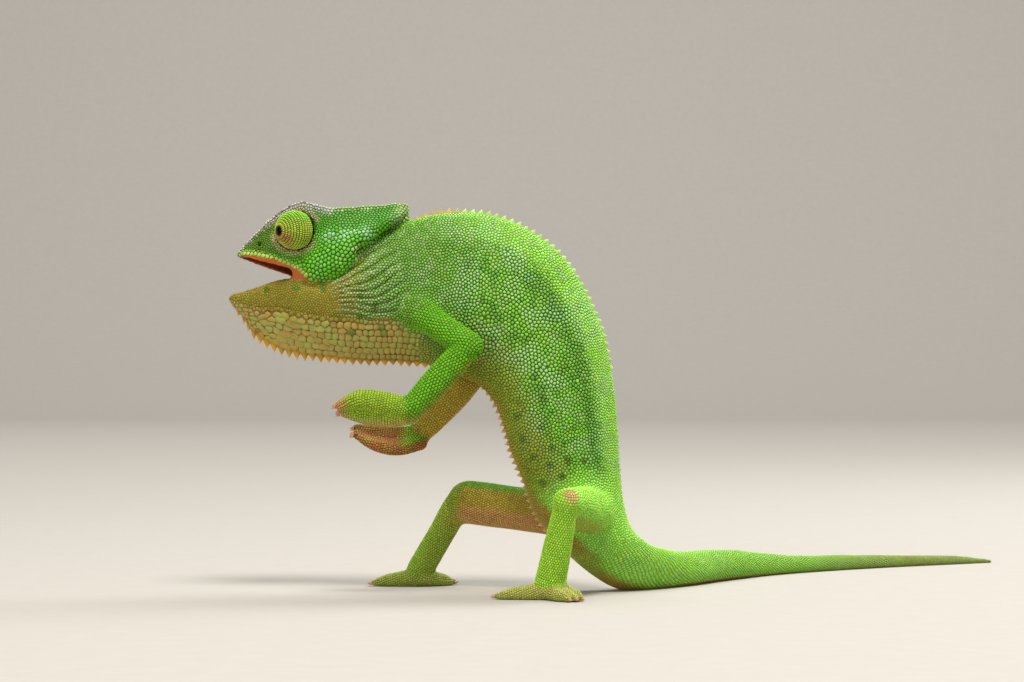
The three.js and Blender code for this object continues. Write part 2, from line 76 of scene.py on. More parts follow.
def around(angle, side, up):  # side * cos + up * sin, a circle in their plane
    return side * np.cos(angle)[..., None] + up * np.sin(angle)[..., None]


def lengthsAlong(line):  # how far along a line each of its points lies
    return np.concatenate([[0], np.linalg.norm(np.diff(line, axis=0), axis=1).cumsum()])


# A curve through rows of numbers: cubic Hermite, its knots the square root of a chord apart.
def throughRows(rows, t):
    rows = np.asarray(rows, float)
    rows = rows[:, None] if rows.ndim == 1 else rows
    ends = np.vstack([2 * rows[0] - rows[1], rows, 2 * rows[-1] - rows[-2]])
    place = np.clip(np.asarray(t, float), 0, 1) * (len(rows) - 1)
    first = np.minimum(place.astype(int), len(rows) - 2)
    w = (place - first)[..., None]
    p = [ends[first + step] for step in range(4)]
    gap = [np.sqrt(np.linalg.norm(p[step + 1] - p[step], axis=-1, keepdims=True)) for step in range(3)]
    gap[1] = np.where(gap[1] < 1e-4, 1, gap[1])
    gap[0] = np.where(gap[0] < 1e-4, gap[1], gap[0])
    gap[2] = np.where(gap[2] < 1e-4, gap[1], gap[2])
    leave = ((p[1] - p[0]) / gap[0] - (p[2] - p[0]) / (gap[0] + gap[1]) + (p[2] - p[1]) / gap[1]) * gap[1]
    arrive = ((p[2] - p[1]) / gap[1] - (p[3] - p[1]) / (gap[1] + gap[2]) + (p[3] - p[2]) / gap[2]) * gap[1]
    return ((2 * w**3 - 3 * w**2 + 1) * p[1] + (w**3 - 2 * w**2 + w) * leave
            + (3 * w**2 - 2 * w**3) * p[2] + (w**3 - w**2) * arrive)


# A section: across = width * cos^(2/power), up = height * sin^(2/power), its roof pinched by its height.
def sectionPlace(angle, width, level, top, bottom, depth, pinch, grow):
    rise, run = np.sin(angle), np.cos(angle)
    power = np.where(rise > 0, top, bottom)
    share = np.abs(rise) ** (2 / power)
    height = np.where(rise > 0, 1 - level, level) * depth + grow
    across = np.sign(run) * np.abs(run) ** (2 / power) * (width + grow) * (1 - pinch * share * (rise > 0))
    return across, np.sign(rise) * share * height


coatDepth = 0.28  # how far the skin lies inside the solids, which is what the scales stand up

# Sections from the chin to the start of the tail:
# back x y z, belly x y z, half-width, level of the widest place, top and bottom power, turn.
spineRows = np.array([
    (-67.0, 0, 69.5, -66.9, 0, 68.9, 0.7, 0.5, 2, 2, 0),
    (-65.6, 0, 70.5, -65.7, 0, 66.9, 2.1, 0.6, 3, 1.7, 0),
    (-63.4, 0, 71.0, -63.8, 0, 64.8, 3.3, 0.7, 4, 1.5, 0),
    (-59.9, 0, 72.1, -60.3, 0, 60.6, 4.8, 0.76, 4, 1.4, 0),
    (-52.6, 0, 74.1, -53.1, 0, 57.0, 6.8, 0.78, 4, 1.4, 0),
    (-46.0, 0, 73.6, -46.0, 0, 55.6, 8.1, 0.74, 3, 1.45, 0),
    (-39.4, 0, 76.5, -39.4, 0, 54.9, 8.9, 0.7, 2.6, 1.5, 0),
    (-33.0, 0, 82.3, -33.3, 0, 54.5, 8.8, 0.62, 2.2, 1.55, 0),
    (-26.0, 0, 86.7, -26.2, 0, 54.3, 8.5, 0.54, 1.9, 1.6, 0),
    (-17.0, 0, 89.3, -18.6, 0, 53.2, 8.6, 0.5, 1.8, 1.7, 0),
    (-2.8, 0, 88.2, -11.8, 0, 50.5, 9.7, 0.5, 1.8, 1.8, 0),
    (11.3, 0, 79.7, -7.0, 0, 47.8, 10.6, 0.48, 1.8, 1.8, 0),
    (20.6, 0, 63.6, -3.8, 0, 43.7, 10.7, 0.46, 1.8, 1.8, 0),
    (23.5, 0, 52.3, -1.9, 0, 38.5, 10.2, 0.46, 1.85, 1.8, 0),
    (24.9, 0, 40.5, -0.3, 0, 33.0, 9.4, 0.47, 1.9, 1.8, 0),
    (25.6, 0, 29.2, 2.5, 0, 26.2, 8.5, 0.5, 1.9, 1.8, 0),
    (26.6, 0, 20.4, 5.3, 0, 18.5, 7.8, 0.52, 2, 1.9, 0),
    (28.4, 0.5, 15.0, 9.8, 0, 12.2, 6.9, 0.55, 2, 2, 5),
    (32.0, 2.5, 11.5, 18.4, 1.0, 4.2, 5.6, 0.55, 2, 2, 18),
    (36.6, 9.0, 9.6, 26.6, 6.0, -0.2, 4.9, 0.5, 2, 2, 40),
])
# Tail x y radius. It lies on the floor, pressed a little flat.
tailRows = np.array([
    (42.1, 20.5, 4.3), (49.0, 32.0, 4.1), (55.4, 41.5, 3.8), (61.5, 49.8, 3.25), (68.4, 57.5, 2.7),
    (75.6, 64.2, 2.35), (83.0, 70.6, 2.2), (90.2, 76.2, 2.05), (104.9, 86.0, 1.65), (119.9, 94.8, 1.25),
    (129.6, 99.8, 0.6),
])
tailPress = 0.25


def tailSections():
    x, y, radius = tailRows.T
    before = tailRows[np.maximum(np.arange(len(x)) - 1, 0)]
    after = tailRows[np.minimum(np.arange(len(x)) + 1, len(x) - 1)]
    turn = np.degrees(np.arctan2(after[:, 1] - before[:, 1], after[:, 0] - before[:, 0]))
    flat = np.zeros_like(x)
    return np.column_stack([x, y, 2 * radius - tailPress, x, y, flat - tailPress,
                            radius, flat + 0.5, flat + 2, flat + 2, turn])


spine = np.vstack([spineRows, tailSections()])
lastStation = len(spine) - 1
spineColumns = {"back": [0, 1, 2], "belly": [3, 4, 5], "girth": [6, 7, 10], "powers": [8, 9]}


def spineAt(part, at):  # columns of the sections, at station numbers
    return throughRows(spine[:, spineColumns[part]], at / lastStation)


# Spine surface: sections carried from chin to tail tip; at is a station number, angle runs round from
# the belly, over the right side to the back.
def spineSurface(at, angle):
    at, angle = np.broadcast_arrays(at, angle)
    belly = spineAt("belly", at)
    up = spineAt("back", at) - belly
    width, level, turn = np.moveaxis(spineAt("girth", at), -1, 0)
    top, bottom = np.moveaxis(spineAt("powers", at), -1, 0)
    grow = -coatDepth * (0.25 + 0.75 * smooth(lastStation, lastStation - 3, at))
    depth = np.linalg.norm(up, axis=-1)
    across, rise = sectionPlace(angle - np.pi / 2, width, level, top, bottom, depth, 0, grow)
    yaw = np.radians(turn)
    side = np.stack([-np.sin(yaw), np.cos(yaw), 0 * yaw], -1)
    return belly + up * level[..., None] + side * across[..., None] + unit(up) * rise[..., None]


# Skull sections: x, roof height, lip height, half-width, level, top power, bottom power, pinch.
skullRows = np.array([
    (-65.0, 81.1, 79.9, 0.8, 0.5, 2, 3, 0.2),
    (-63.4, 82.8, 79.3, 2.5, 0.3, 2.4, 5, 0.4),
    (-59.9, 86.8, 78.1, 4.3, 0.28, 2.8, 5, 0.42),
    (-55.4, 90.6, 76.7, 5.7, 0.3, 3.2, 5, 0.3),
    (-49.8, 93.0, 74.9, 6.9, 0.34, 4, 5, 0.08),
    (-46.0, 92.2, 73.1, 7.6, 0.36, 4, 4, 0.08),
    (-42.4, 91.9, 72.5, 8.7, 0.42, 3.4, 3, 0.22),
    (-38.4, 92.7, 74.2, 9.2, 0.4, 3, 2.6, 0.36),
    (-34.4, 93.0, 80.0, 8.8, 0.3, 3, 2.8, 0.42),
    (-29.6, 93.0, 84.6, 7.0, 0.25, 3, 3, 0.44),
    (-26.0, 93.0, 87.3, 4.8, 0.3, 4, 4, 0.3),
    (-24.2, 92.5, 88.6, 2.6, 0.5, 4, 4, 0),
])
headRoll = {"degrees": 10, "y": -6.5, "z": 84}  # the head leans to its right about a line at its left
palate = 2.6  # how high the roof of the mouth is vaulted


def rolled(points, way=1):  # turned about a line along X by the head's lean; way -1 turns it back
    turn = way * math.radians(headRoll["degrees"])
    across, above = points[..., 1] - headRoll["y"], points[..., 2] - headRoll["z"]
    return np.stack([points[..., 0],
                     headRoll["y"] + across * math.cos(turn) + above * math.sin(turn),
                     headRoll["z"] + above * math.cos(turn) - across * math.sin(turn)], -1)


eye = {"x": -50.8, "out": 7.6, "z": 84.8, "forward": 50, "down": 11,
       "ballRadius": 1.35, "ballOut": 3.52, "opening": 1.0}
socket = {"radius": 4.74, "rim": 5.2, "rimHeight": 0.85, "rimWidth": 0.38}
brow = {"height": 1.1, "width": 0.15, "sunk": 1.3, "front": -64.5, "back": -24.0}


# Skull surface: upright sections along X; inside the lips the underside is vaulted by
# palate * (1 - (across / 0.66 width)^2); round each eye a bowl out - sqrt(radius^2 - r^2) is sunk,
# with a raised rim below and behind it; along the corner of the roof runs the brow ridge.
def skullSurface(t, angle):
    t, angle = np.broadcast_arrays(t, angle)
    x, lip, roof = np.moveaxis(throughRows(skullRows[:, [0, 2, 1]], t), -1, 0)
    width, level, pinch = np.moveaxis(throughRows(skullRows[:, [3, 4, 7]], t), -1, 0)
    top, bottom = np.moveaxis(throughRows(skullRows[:, [5, 6]], t), -1, 0)
    across, up = sectionPlace(angle - np.pi / 2, width, level, top, bottom, roof - lip, pinch, -coatDepth)
    vault = np.clip(1 - (across / (0.66 * width)) ** 2, 0, 1) * (up < 0)
    vault = vault * palate * smooth(snoutTip + 0.8, snoutTip + 5, x) * smooth(-45.5, -47.5, x)
    z = lip + level * (roof - lip) + up + vault
    aside, above = x - eye["x"], z - eye["z"]
    r = np.hypot(aside, above)
    below = smooth(-0.5, 0.1, (0.5 * aside - 0.87 * above) / np.maximum(r, 0.1))
    reach = np.abs(across) + socket["rimHeight"] * below * hill(r, socket["rim"], socket["rimWidth"])
    reach = reach - 0.35 * below * hill(r, socket["rim"] + 0.95, 0.4)
    bowl = eye["out"] - np.sqrt(np.maximum(socket["radius"] ** 2 - r ** 2, 0))
    reach = np.where((r < socket["radius"]) & (above > -5.5), np.minimum(reach, bowl), reach)
    along = smooth(brow["front"], brow["front"] + 4, x) * smooth(brow["back"], brow["back"] - 3, x)
    ridge = hill(np.abs(angle - np.pi), np.pi / 4, brow["width"]) * along
    dip = np.clip(1 - (across / (0.62 * width)) ** 2, 0, 1) * (up > 0) * along * smooth(1.5, 4, width)
    side = np.where(np.abs(across) > 1.2, reach + 0.45 * brow["height"] * ridge, np.abs(across))
    z = z + brow["height"] * (0.55 + 0.45 * smooth(-42, -46, x)) * ridge - brow["sunk"] * dip
    return rolled(np.stack([x - coatDepth * (2 * t - 1), np.sign(across) * side, z], -1))


# Limbs: places x y z and radii from the body to the wrist or ankle.
limbs = {
    "upper_arm_left": ([(-22.6, -6.5, 66.4), (-16.3, -9.85, 62.1), (-10.0, -13.2, 57.8)], [4.2, 3.4, 3.5]),
    "forearm_left": ([(-10.0, -13.2, 57.8), (-16.6, -13.1, 50.55), (-23.2, -13.0, 43.3)], [3.1, 3.5, 3.1]),
    "thigh_left": ([(18.6, -4.5, 19.4), (15.5, -15.25, 20.85), (12.4, -26.0, 22.3)], [5.8, 4.8, 3.3]),
    "shin_left": ([(12.4, -26.0, 22.3), (10.6, -24.0, 13.25), (8.8, -22.0, 4.2)], [2.9, 3.4, 3.7]),
    "upper_arm_right": ([(-20.6, 6.5, 64.4), (-14.1, 7.95, 58.4), (-7.6, 9.4, 52.4)], [4.2, 3.4, 3.3]),
    "forearm_right": ([(-7.6, 9.4, 52.4), (-14.4, 8.7, 45.1), (-21.2, 8.0, 37.8)], [2.9, 3.4, 2.9]),
    "thigh_right": ([(15.0, 4.5, 17.6), (2.3, 9.25, 19.05), (-10.4, 14.0, 20.5)], [5.6, 5.3, 5.4]),
    "shin_right": ([(-13.4, 14.5, 19.2), (-17.8, 16.25, 11.6), (-22.2, 18.0, 4.0)], [3.6, 3.3, 3.4]),
}
# Bundles of fused toes: number, fan direction, middle line, spread of the outer toe, radii.
bundles = {
    "hand_left_outer": (2, (0, 1, 0.25), [(-24.0, -13.2, 43.4), (-29.6, -13.6, 44.8), (-35.4, -13.4, 45.5),
                                          (-40.2, -12.8, 44.1)], [0.6, 0.9, 1.0, 0.9], [2.6, 2.6, 2.2, 1.0]),
    "hand_left_inner": (3, (0, 1, -0.3), [(-23.6, -11.8, 41.8), (-28.9, -11.3, 41.0), (-34.6, -10.9, 41.6),
                                          (-39.6, -11.2, 42.4)], [0.9, 1.9, 2.0, 1.4], [2.2, 1.9, 1.5, 0.8]),
    "hand_right_outer": (2, (0, 1, -0.25), [(-22.0, 8.4, 37.0), (-27.2, 9.0, 36.5), (-32.8, 8.8, 37.2),
                                            (-37.2, 8.2, 38.5)], [0.6, 0.9, 1.0, 0.9], [2.5, 2.3, 1.9, 0.9]),
    "hand_right_inner": (3, (0, 1, 0.3), [(-22.0, 7.0, 35.4), (-27.0, 5.8, 34.1), (-32.6, 4.9, 35.0),
                                          (-37.2, 4.6, 37.1)], [0.9, 1.8, 1.9, 1.3], [2.2, 1.9, 1.5, 0.8]),
    "foot_left_inner": (2, (0, 1, 0), [(8.2, -21.8, 2.3), (4.6, -21.4, 1.65), (0.6, -21.2, 1.35),
                                       (-3.4, -21.4, 0.75)], [0.8, 1.3, 1.4, 1.1], [2.6, 1.9, 1.6, 0.9]),
    "foot_left_outer": (3, (1, 0.6, 0), [(9.6, -22.6, 2.3), (11.2, -24.8, 1.55), (12.8, -27.2, 1.25),
                                         (14.2, -29.6, 0.7)], [1.2, 1.8, 2.1, 1.8], [2.6, 1.8, 1.5, 0.85]),
    "foot_right_inner": (2, (0, 1, 0), [(-22.8, 18.2, 2.3), (-26.4, 18.6, 1.75), (-30.2, 18.4, 1.35),
                                        (-33.4, 17.8, 0.75)], [0.8, 1.3, 1.4, 1.1], [2.6, 2.0, 1.6, 0.9]),
    "foot_right_outer": (3, (0, 1, 0), [(-21.4, 18.4, 2.3), (-19.0, 19.6, 1.65), (-16.6, 20.8, 1.25),
                                        (-14.4, 22.0, 0.7)], [1.2, 1.8, 2.1, 1.8], [2.6, 1.9, 1.5, 0.85]),
}


def toeLines(count, fan, middle, spread):
    fan = unit(np.array(fan, float))
    shares = 2 * np.arange(count) / (count - 1) - 1
    return [np.array(middle) + share * np.array(spread)[:, None] * fan for share in shares]


# Every toe: its name, its middle line, the bundle's radii.
def toes():
    for name, (count, fan, middle, spread, radii) in bundles.items():
        for toe, line in enumerate(toeLines(count, fan, middle, spread)):
            yield f"{name}_{toe + 1}", line, radii


# Round tube along places: at s millimetres along, centre(s) + radius(s) * (side cos + other sin);
# past an end the radius shrinks by cos(turn) and the ring moves out by sin(turn), as a dome.
def tubeSurface(places, radii, s, angle):
    s, angle = np.broadcast_arrays(s, angle)
    shares = np.linspace(0, 1, 200)
    lengths = lengthsAlong(throughRows(places, shares))
    inside = np.clip(s, 0, lengths[-1])
    t = np.interp(inside, lengths, shares)
    radius = throughRows(radii, t)[..., 0] - coatDepth
    turn = np.clip((s - inside) / radius, -1.55, 1.55)
    along = unit(throughRows(places, np.minimum(t + 0.01, 1)) - throughRows(places, np.maximum(t - 0.01, 0)))
    side = unit(np.cross(along, (0.12, 0.99, 0.07)))
    out = around(angle, side, np.cross(side, along))
    return (throughRows(places, t) + along * (np.sin(turn) * radius)[..., None]
            + out * (np.cos(turn) * radius)[..., None])


def tubeLength(places):  # how long the curve through the places is
    return lengthsAlong(throughRows(places, np.linspace(0, 1, 200)))[-1]


# The skin stretched over the corner of the mouth: a flat tube from the jaw's edge to the lip,
# its front edge bowed back, cos(angle) up the web and sin(angle) through it.
web = {"front": -52.2, "back": -45.4, "half": 0.45, "bow": 1.3, "inset": 0.84}


def webSurface(mirror, share, angle):
    share, angle = np.broadcast_arrays(share, angle)
    x = web["front"] + (web["back"] - web["front"]) * share
    station = np.interp(x, spineRows[:, 0], np.arange(len(spineRows)))
    jaw = throughRows(spine[:, [2, 6]], station / lastStation)
    last = len(skullRows) - 1
    skull = throughRows(skullRows[:, [2, 3]], np.interp(x, skullRows[:, 0], np.arange(last + 1)) / last)
    low = np.stack([x, mirror * jaw[..., 1] * web["inset"], jaw[..., 0] - 0.9], -1)
    high = rolled(np.stack([x, mirror * skull[..., 1] * web["inset"], skull[..., 0] + 0.8], -1))
    up = np.cos(angle)
    bow = np.stack([web["bow"] * (1 - up ** 2) * (1 - share), mirror * web["half"] * np.sin(angle),
                    0 * share], -1)
    return (low + high) / 2 + (high - low) / 2 * up[..., None] + bow


# Every form of the flesh: name -> (grid of rings, place along, angle round).
def fleshForms():
    def circle(sides):
        return np.linspace(0, 2 * np.pi, sides, endpoint=False)

    at, t = np.linspace(0, lastStation, lastStation * 12 + 1), np.linspace(0, 1, 170)
    share = np.linspace(0, 1, 20)
    forms = {"spine": (spineSurface(at[:, None], circle(144)), at, circle(144)),
             "skull": (skullSurface(t[:, None], circle(144)), t, circle(144))}
    tubes = [(name, places, radii, 48) for name, (places, radii) in limbs.items()]
    for name, places, radii, sides in tubes + [(*toe, 28) for toe in toes()]:
        s = np.linspace(-1.5 * (radii[0] - coatDepth), tubeLength(places) + 1.5 * (radii[-1] - coatDepth),
                        int(tubeLength(places) * 3) + 20)
        forms[name] = (tubeSurface(places, radii, s[:, None], circle(sides)), s, circle(sides))
    for name, mirror in (("web_left", -1), ("web_right", 1)):
        forms[name] = (webSurface(mirror, share[:, None], circle(28)), share, circle(28))
    return forms


# A closed mesh from grids of rings, with a fan over each end.
def ringMesh(grids):
    points, faces, base = [], [], 0
    for grid in grids:
        rings, sides = grid.shape[:2]
        index = base + np.arange(rings * sides).reshape(rings, sides)
        beside = np.roll(index, -1, axis=1)
        hub = base + rings * sides
        points += [grid.reshape(-1, 3), grid[0].mean(0)[None], grid[-1].mean(0)[None]]
        faces += np.stack([index[:-1], beside[:-1], beside[1:], index[1:]], -1).reshape(-1, 4).tolist()
        faces += np.stack([beside[0], index[0], np.full(sides, hub)], -1).tolist()
        faces += np.stack([index[-1], beside[-1], np.full(sides, hub + 1)], -1).tolist()
        base = hub + 2
    return np.vstack(points), faces


# Faces of many small stacks of rings, each with a flat foot and closed by a tip above.
def stackFaces(count, rings, sides):
    ring = np.arange(sides)
    beside = (ring + 1) % sides
    wall = np.stack([ring, beside, beside + sides, ring + sides], -1)
    walls = np.concatenate([wall + sides * level for level in range(rings - 1)])
    last = (rings - 1) * sides
    top = np.stack([ring + last, beside + last, np.full(sides, rings * sides)], -1)
    start = (np.arange(count) * (rings * sides + 1))[:, None, None]
    return ((start + walls).reshape(-1, 4).tolist() + (start + top).reshape(-1, 3).tolist()
            + (start[:, 0] + ring[::-1]).tolist())


def linked(name, data):  # a new object of the data, in the scene
    made = bpy.data.objects.new(name, data)
    bpy.context.scene.collection.objects.link(made)
    return made


def makeMesh(name, points, faces):
    mesh = bpy.data.meshes.new(name)
    mesh.from_pydata(toFrame(points).tolist(), [], faces)
    mesh.validate()
    mesh.shade_smooth()
    return linked(name, mesh)


def meshValues(items, key, size=3):
    values = np.empty(len(items) * size, np.float32)
    items.foreach_get(key, values)
    return values.reshape(-1, size).astype(float) if size > 1 else values.astype(float)


def triangleCorners(made):
    made.data.calc_loop_triangles()
    return meshValues(made.data.loop_triangles, "vertices").astype(int)


def setPoints(made, points):
    made.data.vertices.foreach_set("co", toFrame(points).astype(np.float32).ravel())
    made.data.update()


def addAttributes(made, **columns):  # three numbers a point are a colour, one is a plain value
    for name, values in columns.items():
        flat = np.asarray(values, np.float32)
        if flat.ndim == 2:
            flat = np.column_stack([flat, np.ones(len(flat), np.float32)])
            made.data.attributes.new(name, "FLOAT_COLOR", "POINT").data.foreach_set("color", flat.ravel())
        else:
            made.data.attributes.new(name, "FLOAT", "POINT").data.foreach_set("value", flat)


# Faces must point outwards: the enclosed volume, a sum of a . (b x c) / 6 over the triangles, tells.
def faceOutwards(made):
    a, b, c = np.moveaxis(meshValues(made.data.vertices, "co")[triangleCorners(made)], 1, 0)
    if np.einsum("ij,ij->i", a, np.cross(b, c)).sum() < 0:
        made.data.flip_normals()


# The skin: the forms joined by a voxel remesh, then smoothed a little.
skinMake = {"voxel": 0.53, "smoothing": 3}


def joinedSkin():
    skin = makeMesh("skin", *ringMesh([grid for grid, _, _ in forms.values()]))
    remesh = skin.modifiers.new("joined", "REMESH")
    remesh.mode = "VOXEL"
    remesh.voxel_size = skinMake["voxel"] * mm
    remesh.use_smooth_shade = True
    relax = skin.modifiers.new("smoothed", "SMOOTH")
    relax.factor = 0.5
    relax.iterations = skinMake["smoothing"]
    shaped = bpy.data.meshes.new_from_object(skin.evaluated_get(bpy.context.evaluated_depsgraph_get()))
    skin.modifiers.clear()
    skin.data = shaped
    faceOutwards(skin)
    return skin


forms = fleshForms()
skin = joinedSkin()
print("skin joined:", len(skin.data.vertices), "points")


def pointTree(points):
    tree = KDTree(len(points))
    for index, point in enumerate(points):
        tree.insert(point, index)
    tree.balance()
    return tree


def nearestIndex(tree, points):
    return np.array([tree.find(point)[1] for point in points])


# Where a point lies on the forms: the nearest sample of the lofts, moved along its own tangents.
class Lay:
    def __init__(self, forms):
        self.names = list(forms)
        samples = []
        for number, (grid, s, v) in enumerate(forms.values()):
            angleStep = (np.roll(grid, -1, axis=1) - np.roll(grid, 1, axis=1)) / (2 * (v[1] - v[0]))
            flat = [column.reshape(-1, 3) for column in (grid, np.gradient(grid, s, axis=0), angleStep)]
            samples.append((*flat, np.full(len(flat[0]), number), np.repeat(s, len(v)), np.tile(v, len(s))))
        columns = [np.concatenate(column) for column in zip(*samples)]
        self.points, self.alongStep, self.angleStep, self.form, self.along, self.angle = columns
        self.tree = pointTree(self.points)

    def find(self, points):
        near = nearestIndex(self.tree, points)
        off = points - self.points[near]
        move = [(off * step[near]).sum(-1) / np.maximum((step[near] ** 2).sum(-1), 1e-6)
                for step in (self.alongStep, self.angleStep)]
        return (self.form[near], self.along[near] + np.clip(move[0], -1, 1),
                (self.angle[near] + np.clip(move[1], -0.2, 0.2)) % (2 * np.pi))

    def isIn(self, form, *starts):
        wanted = [number for number, name in enumerate(self.names) if name.startswith(starts)]
        return np.isin(form, wanted)


lay = Lay(forms)

# Lattice noise: random values on a 32-cell grid that repeats, eased between its corners.
lattice = rng.random((32, 32, 32))


def blotches(points, size, shift=0.0):
    place = np.asarray(points) / size + shift
    corner = np.floor(place).astype(int)
    ease = place - corner
    ease = ease * ease * (3 - 2 * ease)
    total = np.zeros(len(place))
    for step in np.ndindex(2, 2, 2):
        weight = np.prod(np.where(step, ease, 1 - ease), axis=-1)
        total += weight * lattice[tuple(((corner + step) % 32).T)]
    return total


throat = {"gap": 1.4, "pleats": 7, "deep": 0.3, "full": 12.95, "front": 0.9, "back": 8.6}
neckFan = {"x": -51.0, "z": 66.0, "gap": 5.4, "deep": 0.62, "low": -4, "high": 62}
flapLine = np.array([(-24.6, 88.6), (-26.5, 86.8), (-28.4, 85.2), (-30.9, 83.6), (-33.4, 82.1),
                     (-36.0, 80.0)])
chestLine = np.array([(-9.0, 50.0), (-7.1, 49.0), (-2.0, 46.4), (1.6, 44.3)])
nostril = {"x": -59.3, "z": 82.2, "radius": 0.42}


# Height over the throat's edge, in millimetres at the deepest part of the throat.
def throatHeight(at, z):
    belly, back = spineAt("belly", at), spineAt("back", at)
    full = np.maximum((back - belly)[..., 2] * spineAt("girth", at)[..., 1], 0.1)
    return (z - belly[..., 2]) * throat["full"] / np.minimum(full, throat["full"])


# Folds fan out behind the jaw: counted round its hinge and wavering, crease = (1 - |sin(pi * count)|)^2,
# which is 1 in a crease and 0 on a fold; the second value says where there are folds at all.
def neckFolds(points, form):
    aside, above = points[:, 0] - neckFan["x"], points[:, 2] - neckFan["z"]
    turn, far = np.degrees(np.arctan2(above, aside)), np.hypot(aside, above)
    count = turn / neckFan["gap"] + 1.3 * blotches(points, 8.0) + 0.5 * blotches(points, 3.0) + far * 0.03
    where = smooth(9, 13, far) * smooth(33, 22, far) * smooth(neckFan["low"] - 6, neckFan["low"] + 4, turn)
    where = where * smooth(neckFan["high"] + 8, neckFan["high"] - 6, turn)
    onNape = lay.isIn(form, "skull") & (points[:, 0] > -37) & (points[:, 2] < 81)
    return (1 - np.abs(np.sin(np.pi * count))) ** 2, where * (lay.isIn(form, "spine") | onNape)


def lineGap(points, line):  # distance in side view to a broken line
    flat = points[:, [0, 2]]
    best = np.full(len(flat), 1e9)
    for a, b in zip(line[:-1], line[1:]):
        share = np.clip(((flat - a) @ (b - a)) / ((b - a) @ (b - a)), 0, 1)
        best = np.minimum(best, np.linalg.norm(flat - a - share[:, None] * (b - a), axis=1))
    return best


def headGap(points, spot):  # distance in side view to the eye or nostril, the head's lean taken off
    head = rolled(points, -1)
    return np.hypot(head[:, 0] - spot["x"], head[:, 2] - spot["z"])


# Lining shows on the gums, the vault and floor of the mouth and the web at its corner.
gumHeight = {"x": [-65, -63.5, -60, -55, -50, -48, -47], "height": [0.4, 0.9, 1.5, 1.6, 1.0, 0.3, 0]}


def mouthParts(points, form, at, angle):
    head = rolled(points, -1)
    lip = np.interp(head[:, 0], skullRows[:, 0], skullRows[:, 2])
    width = np.interp(head[:, 0], skullRows[:, 0], skullRows[:, 3])
    gum = np.interp(head[:, 0], gumHeight["x"], gumHeight["height"])
    upper = lay.isIn(form, "skull") & (head[:, 0] < -47)
    vault = upper & (np.abs(head[:, 1]) < 0.62 * width) & (np.cos(angle) > 0.1) & (width > 2)
    jawWidth = spineAt("girth", at)[:, 0]
    floor = lay.isIn(form, "spine") & (at < 5.2) & (jawWidth > 2.5)
    floor = floor & (np.abs(angle - np.pi) < 1.2) & (np.abs(points[:, 1]) < 0.66 * jawWidth)
    return {"gum": upper & (head[:, 2] < lip + gum) & ~vault, "vault": vault, "floor": floor,
            "web": lay.isIn(form, "web") & (points[:, 0] < -47.4) & (points[:, 2] > 73.3),
            "aboveLip": np.where(upper, head[:, 2] - lip - gum, 99)}


# Folds pressed into the skin along its normals: throat pleats and neck wrinkles as
# deep * (1 - |sin(pi * count)|)^2, creases and pits as hills of their distance.
def fold(points, normals, form, at, angle):
    onSpine, onSkull = lay.isIn(form, "spine"), lay.isIn(form, "skull")
    height = throatHeight(at, points[:, 2])
    rows = np.clip(height / throat["gap"], 0.5, throat["pleats"] + 0.5)
    pleated = onSpine * smooth(1.5, 3.0, at) * smooth(8.8, 7.4, at) * smooth(0.2, 0.8, height)
    high = throat["pleats"] * throat["gap"]
    pleated = pleated * smooth(high + 0.7, high, height)
    move = -throat["deep"] * pleated * (1 - np.abs(np.sin(np.pi * rows))) ** 2
    crease, where = neckFolds(points, form)
    move -= neckFan["deep"] * where * (crease - 0.35)
    move -= 0.75 * hill(lineGap(points, flapLine), 0, 0.55) * (np.abs(points[:, 1]) > 1.5)
    move -= 0.35 * hill(lineGap(points, chestLine), 0, 0.7) * onSpine
    hole = headGap(points, nostril)
    move -= 0.7 * onSkull * smooth(nostril["radius"] + 0.35, nostril["radius"] - 0.1, hole)
    move += 0.15 * onSkull * hill(hole, nostril["radius"] + 0.55, 0.3)
    move += 0.12 * (blotches(points, 5.0) - 0.5) * ~lay.isIn(form, "web")
    return points + normals * move[:, None]


# Joints where the skin is eased, as x, y, z and how far that reaches: each point there moves half way
# to the mean of its neighbours, in 22 rounds.
joints = np.array([(-22.6, -7.5, 66.4, 8.5), (-20.6, 7.5, 64.4, 8.5), (17.5, -10.0, 19.6, 10.5),
                   (12.0, 8.0, 17.9, 10.5), (-23.5, -12.8, 43.0, 4.0), (-21.6, 7.8, 37.2, 4.0),
                   (8.8, -22.0, 3.6, 3.6), (-22.2, 18.0, 3.4, 3.6), (-28.5, -12.4, 42.8, 6.5),
                   (-27.0, 7.4, 35.6, 6.0), (-11.0, 14.0, 20.0, 7.5)])
easingRounds = 22


def eased(made, places):
    edges = meshValues(made.data.edges, "vertices", 2).astype(int)
    ends, others = np.concatenate([edges, edges[:, ::-1]]).T
    degree = np.bincount(ends, minlength=len(places))[:, None]
    gap = np.linalg.norm(places[:, None] - joints[:, :3], axis=-1) / joints[:, 3]
    weight = 0.5 * smooth(1.0, 0.5, gap.min(1))[:, None]
    for turn in range(easingRounds):
        sums = [np.bincount(ends, places[others, axis], len(places)) for axis in range(3)]
        places = places + (np.stack(sums, -1) / degree - places) * weight
    return places


def skinPoints(made):
    return meshValues(made.data.vertices, "co") / mm - home


def skinNormals(made):
    return unit(meshValues(made.data.vertex_normals, "vector"))


points = eased(skin, skinPoints(skin))
setPoints(skin, points)
points = fold(points, skinNormals(skin), *lay.find(points))
points[:, 2] = np.maximum(points[:, 2], 0.02)
setPoints(skin, points)
print("skin folded")

skinTree, skinLie, triangles = pointTree(points), skinNormals(skin), triangleCorners(skin)
skinSurface = BVHTree.FromPolygons(points.tolist(), triangles.tolist())


def ontoSkin(places):  # nearest place on the skin and how far it was
    found = [skinSurface.find_nearest(place) for place in places]
    return np.array([hit[0] for hit in found]), np.array([hit[3] for hit in found])


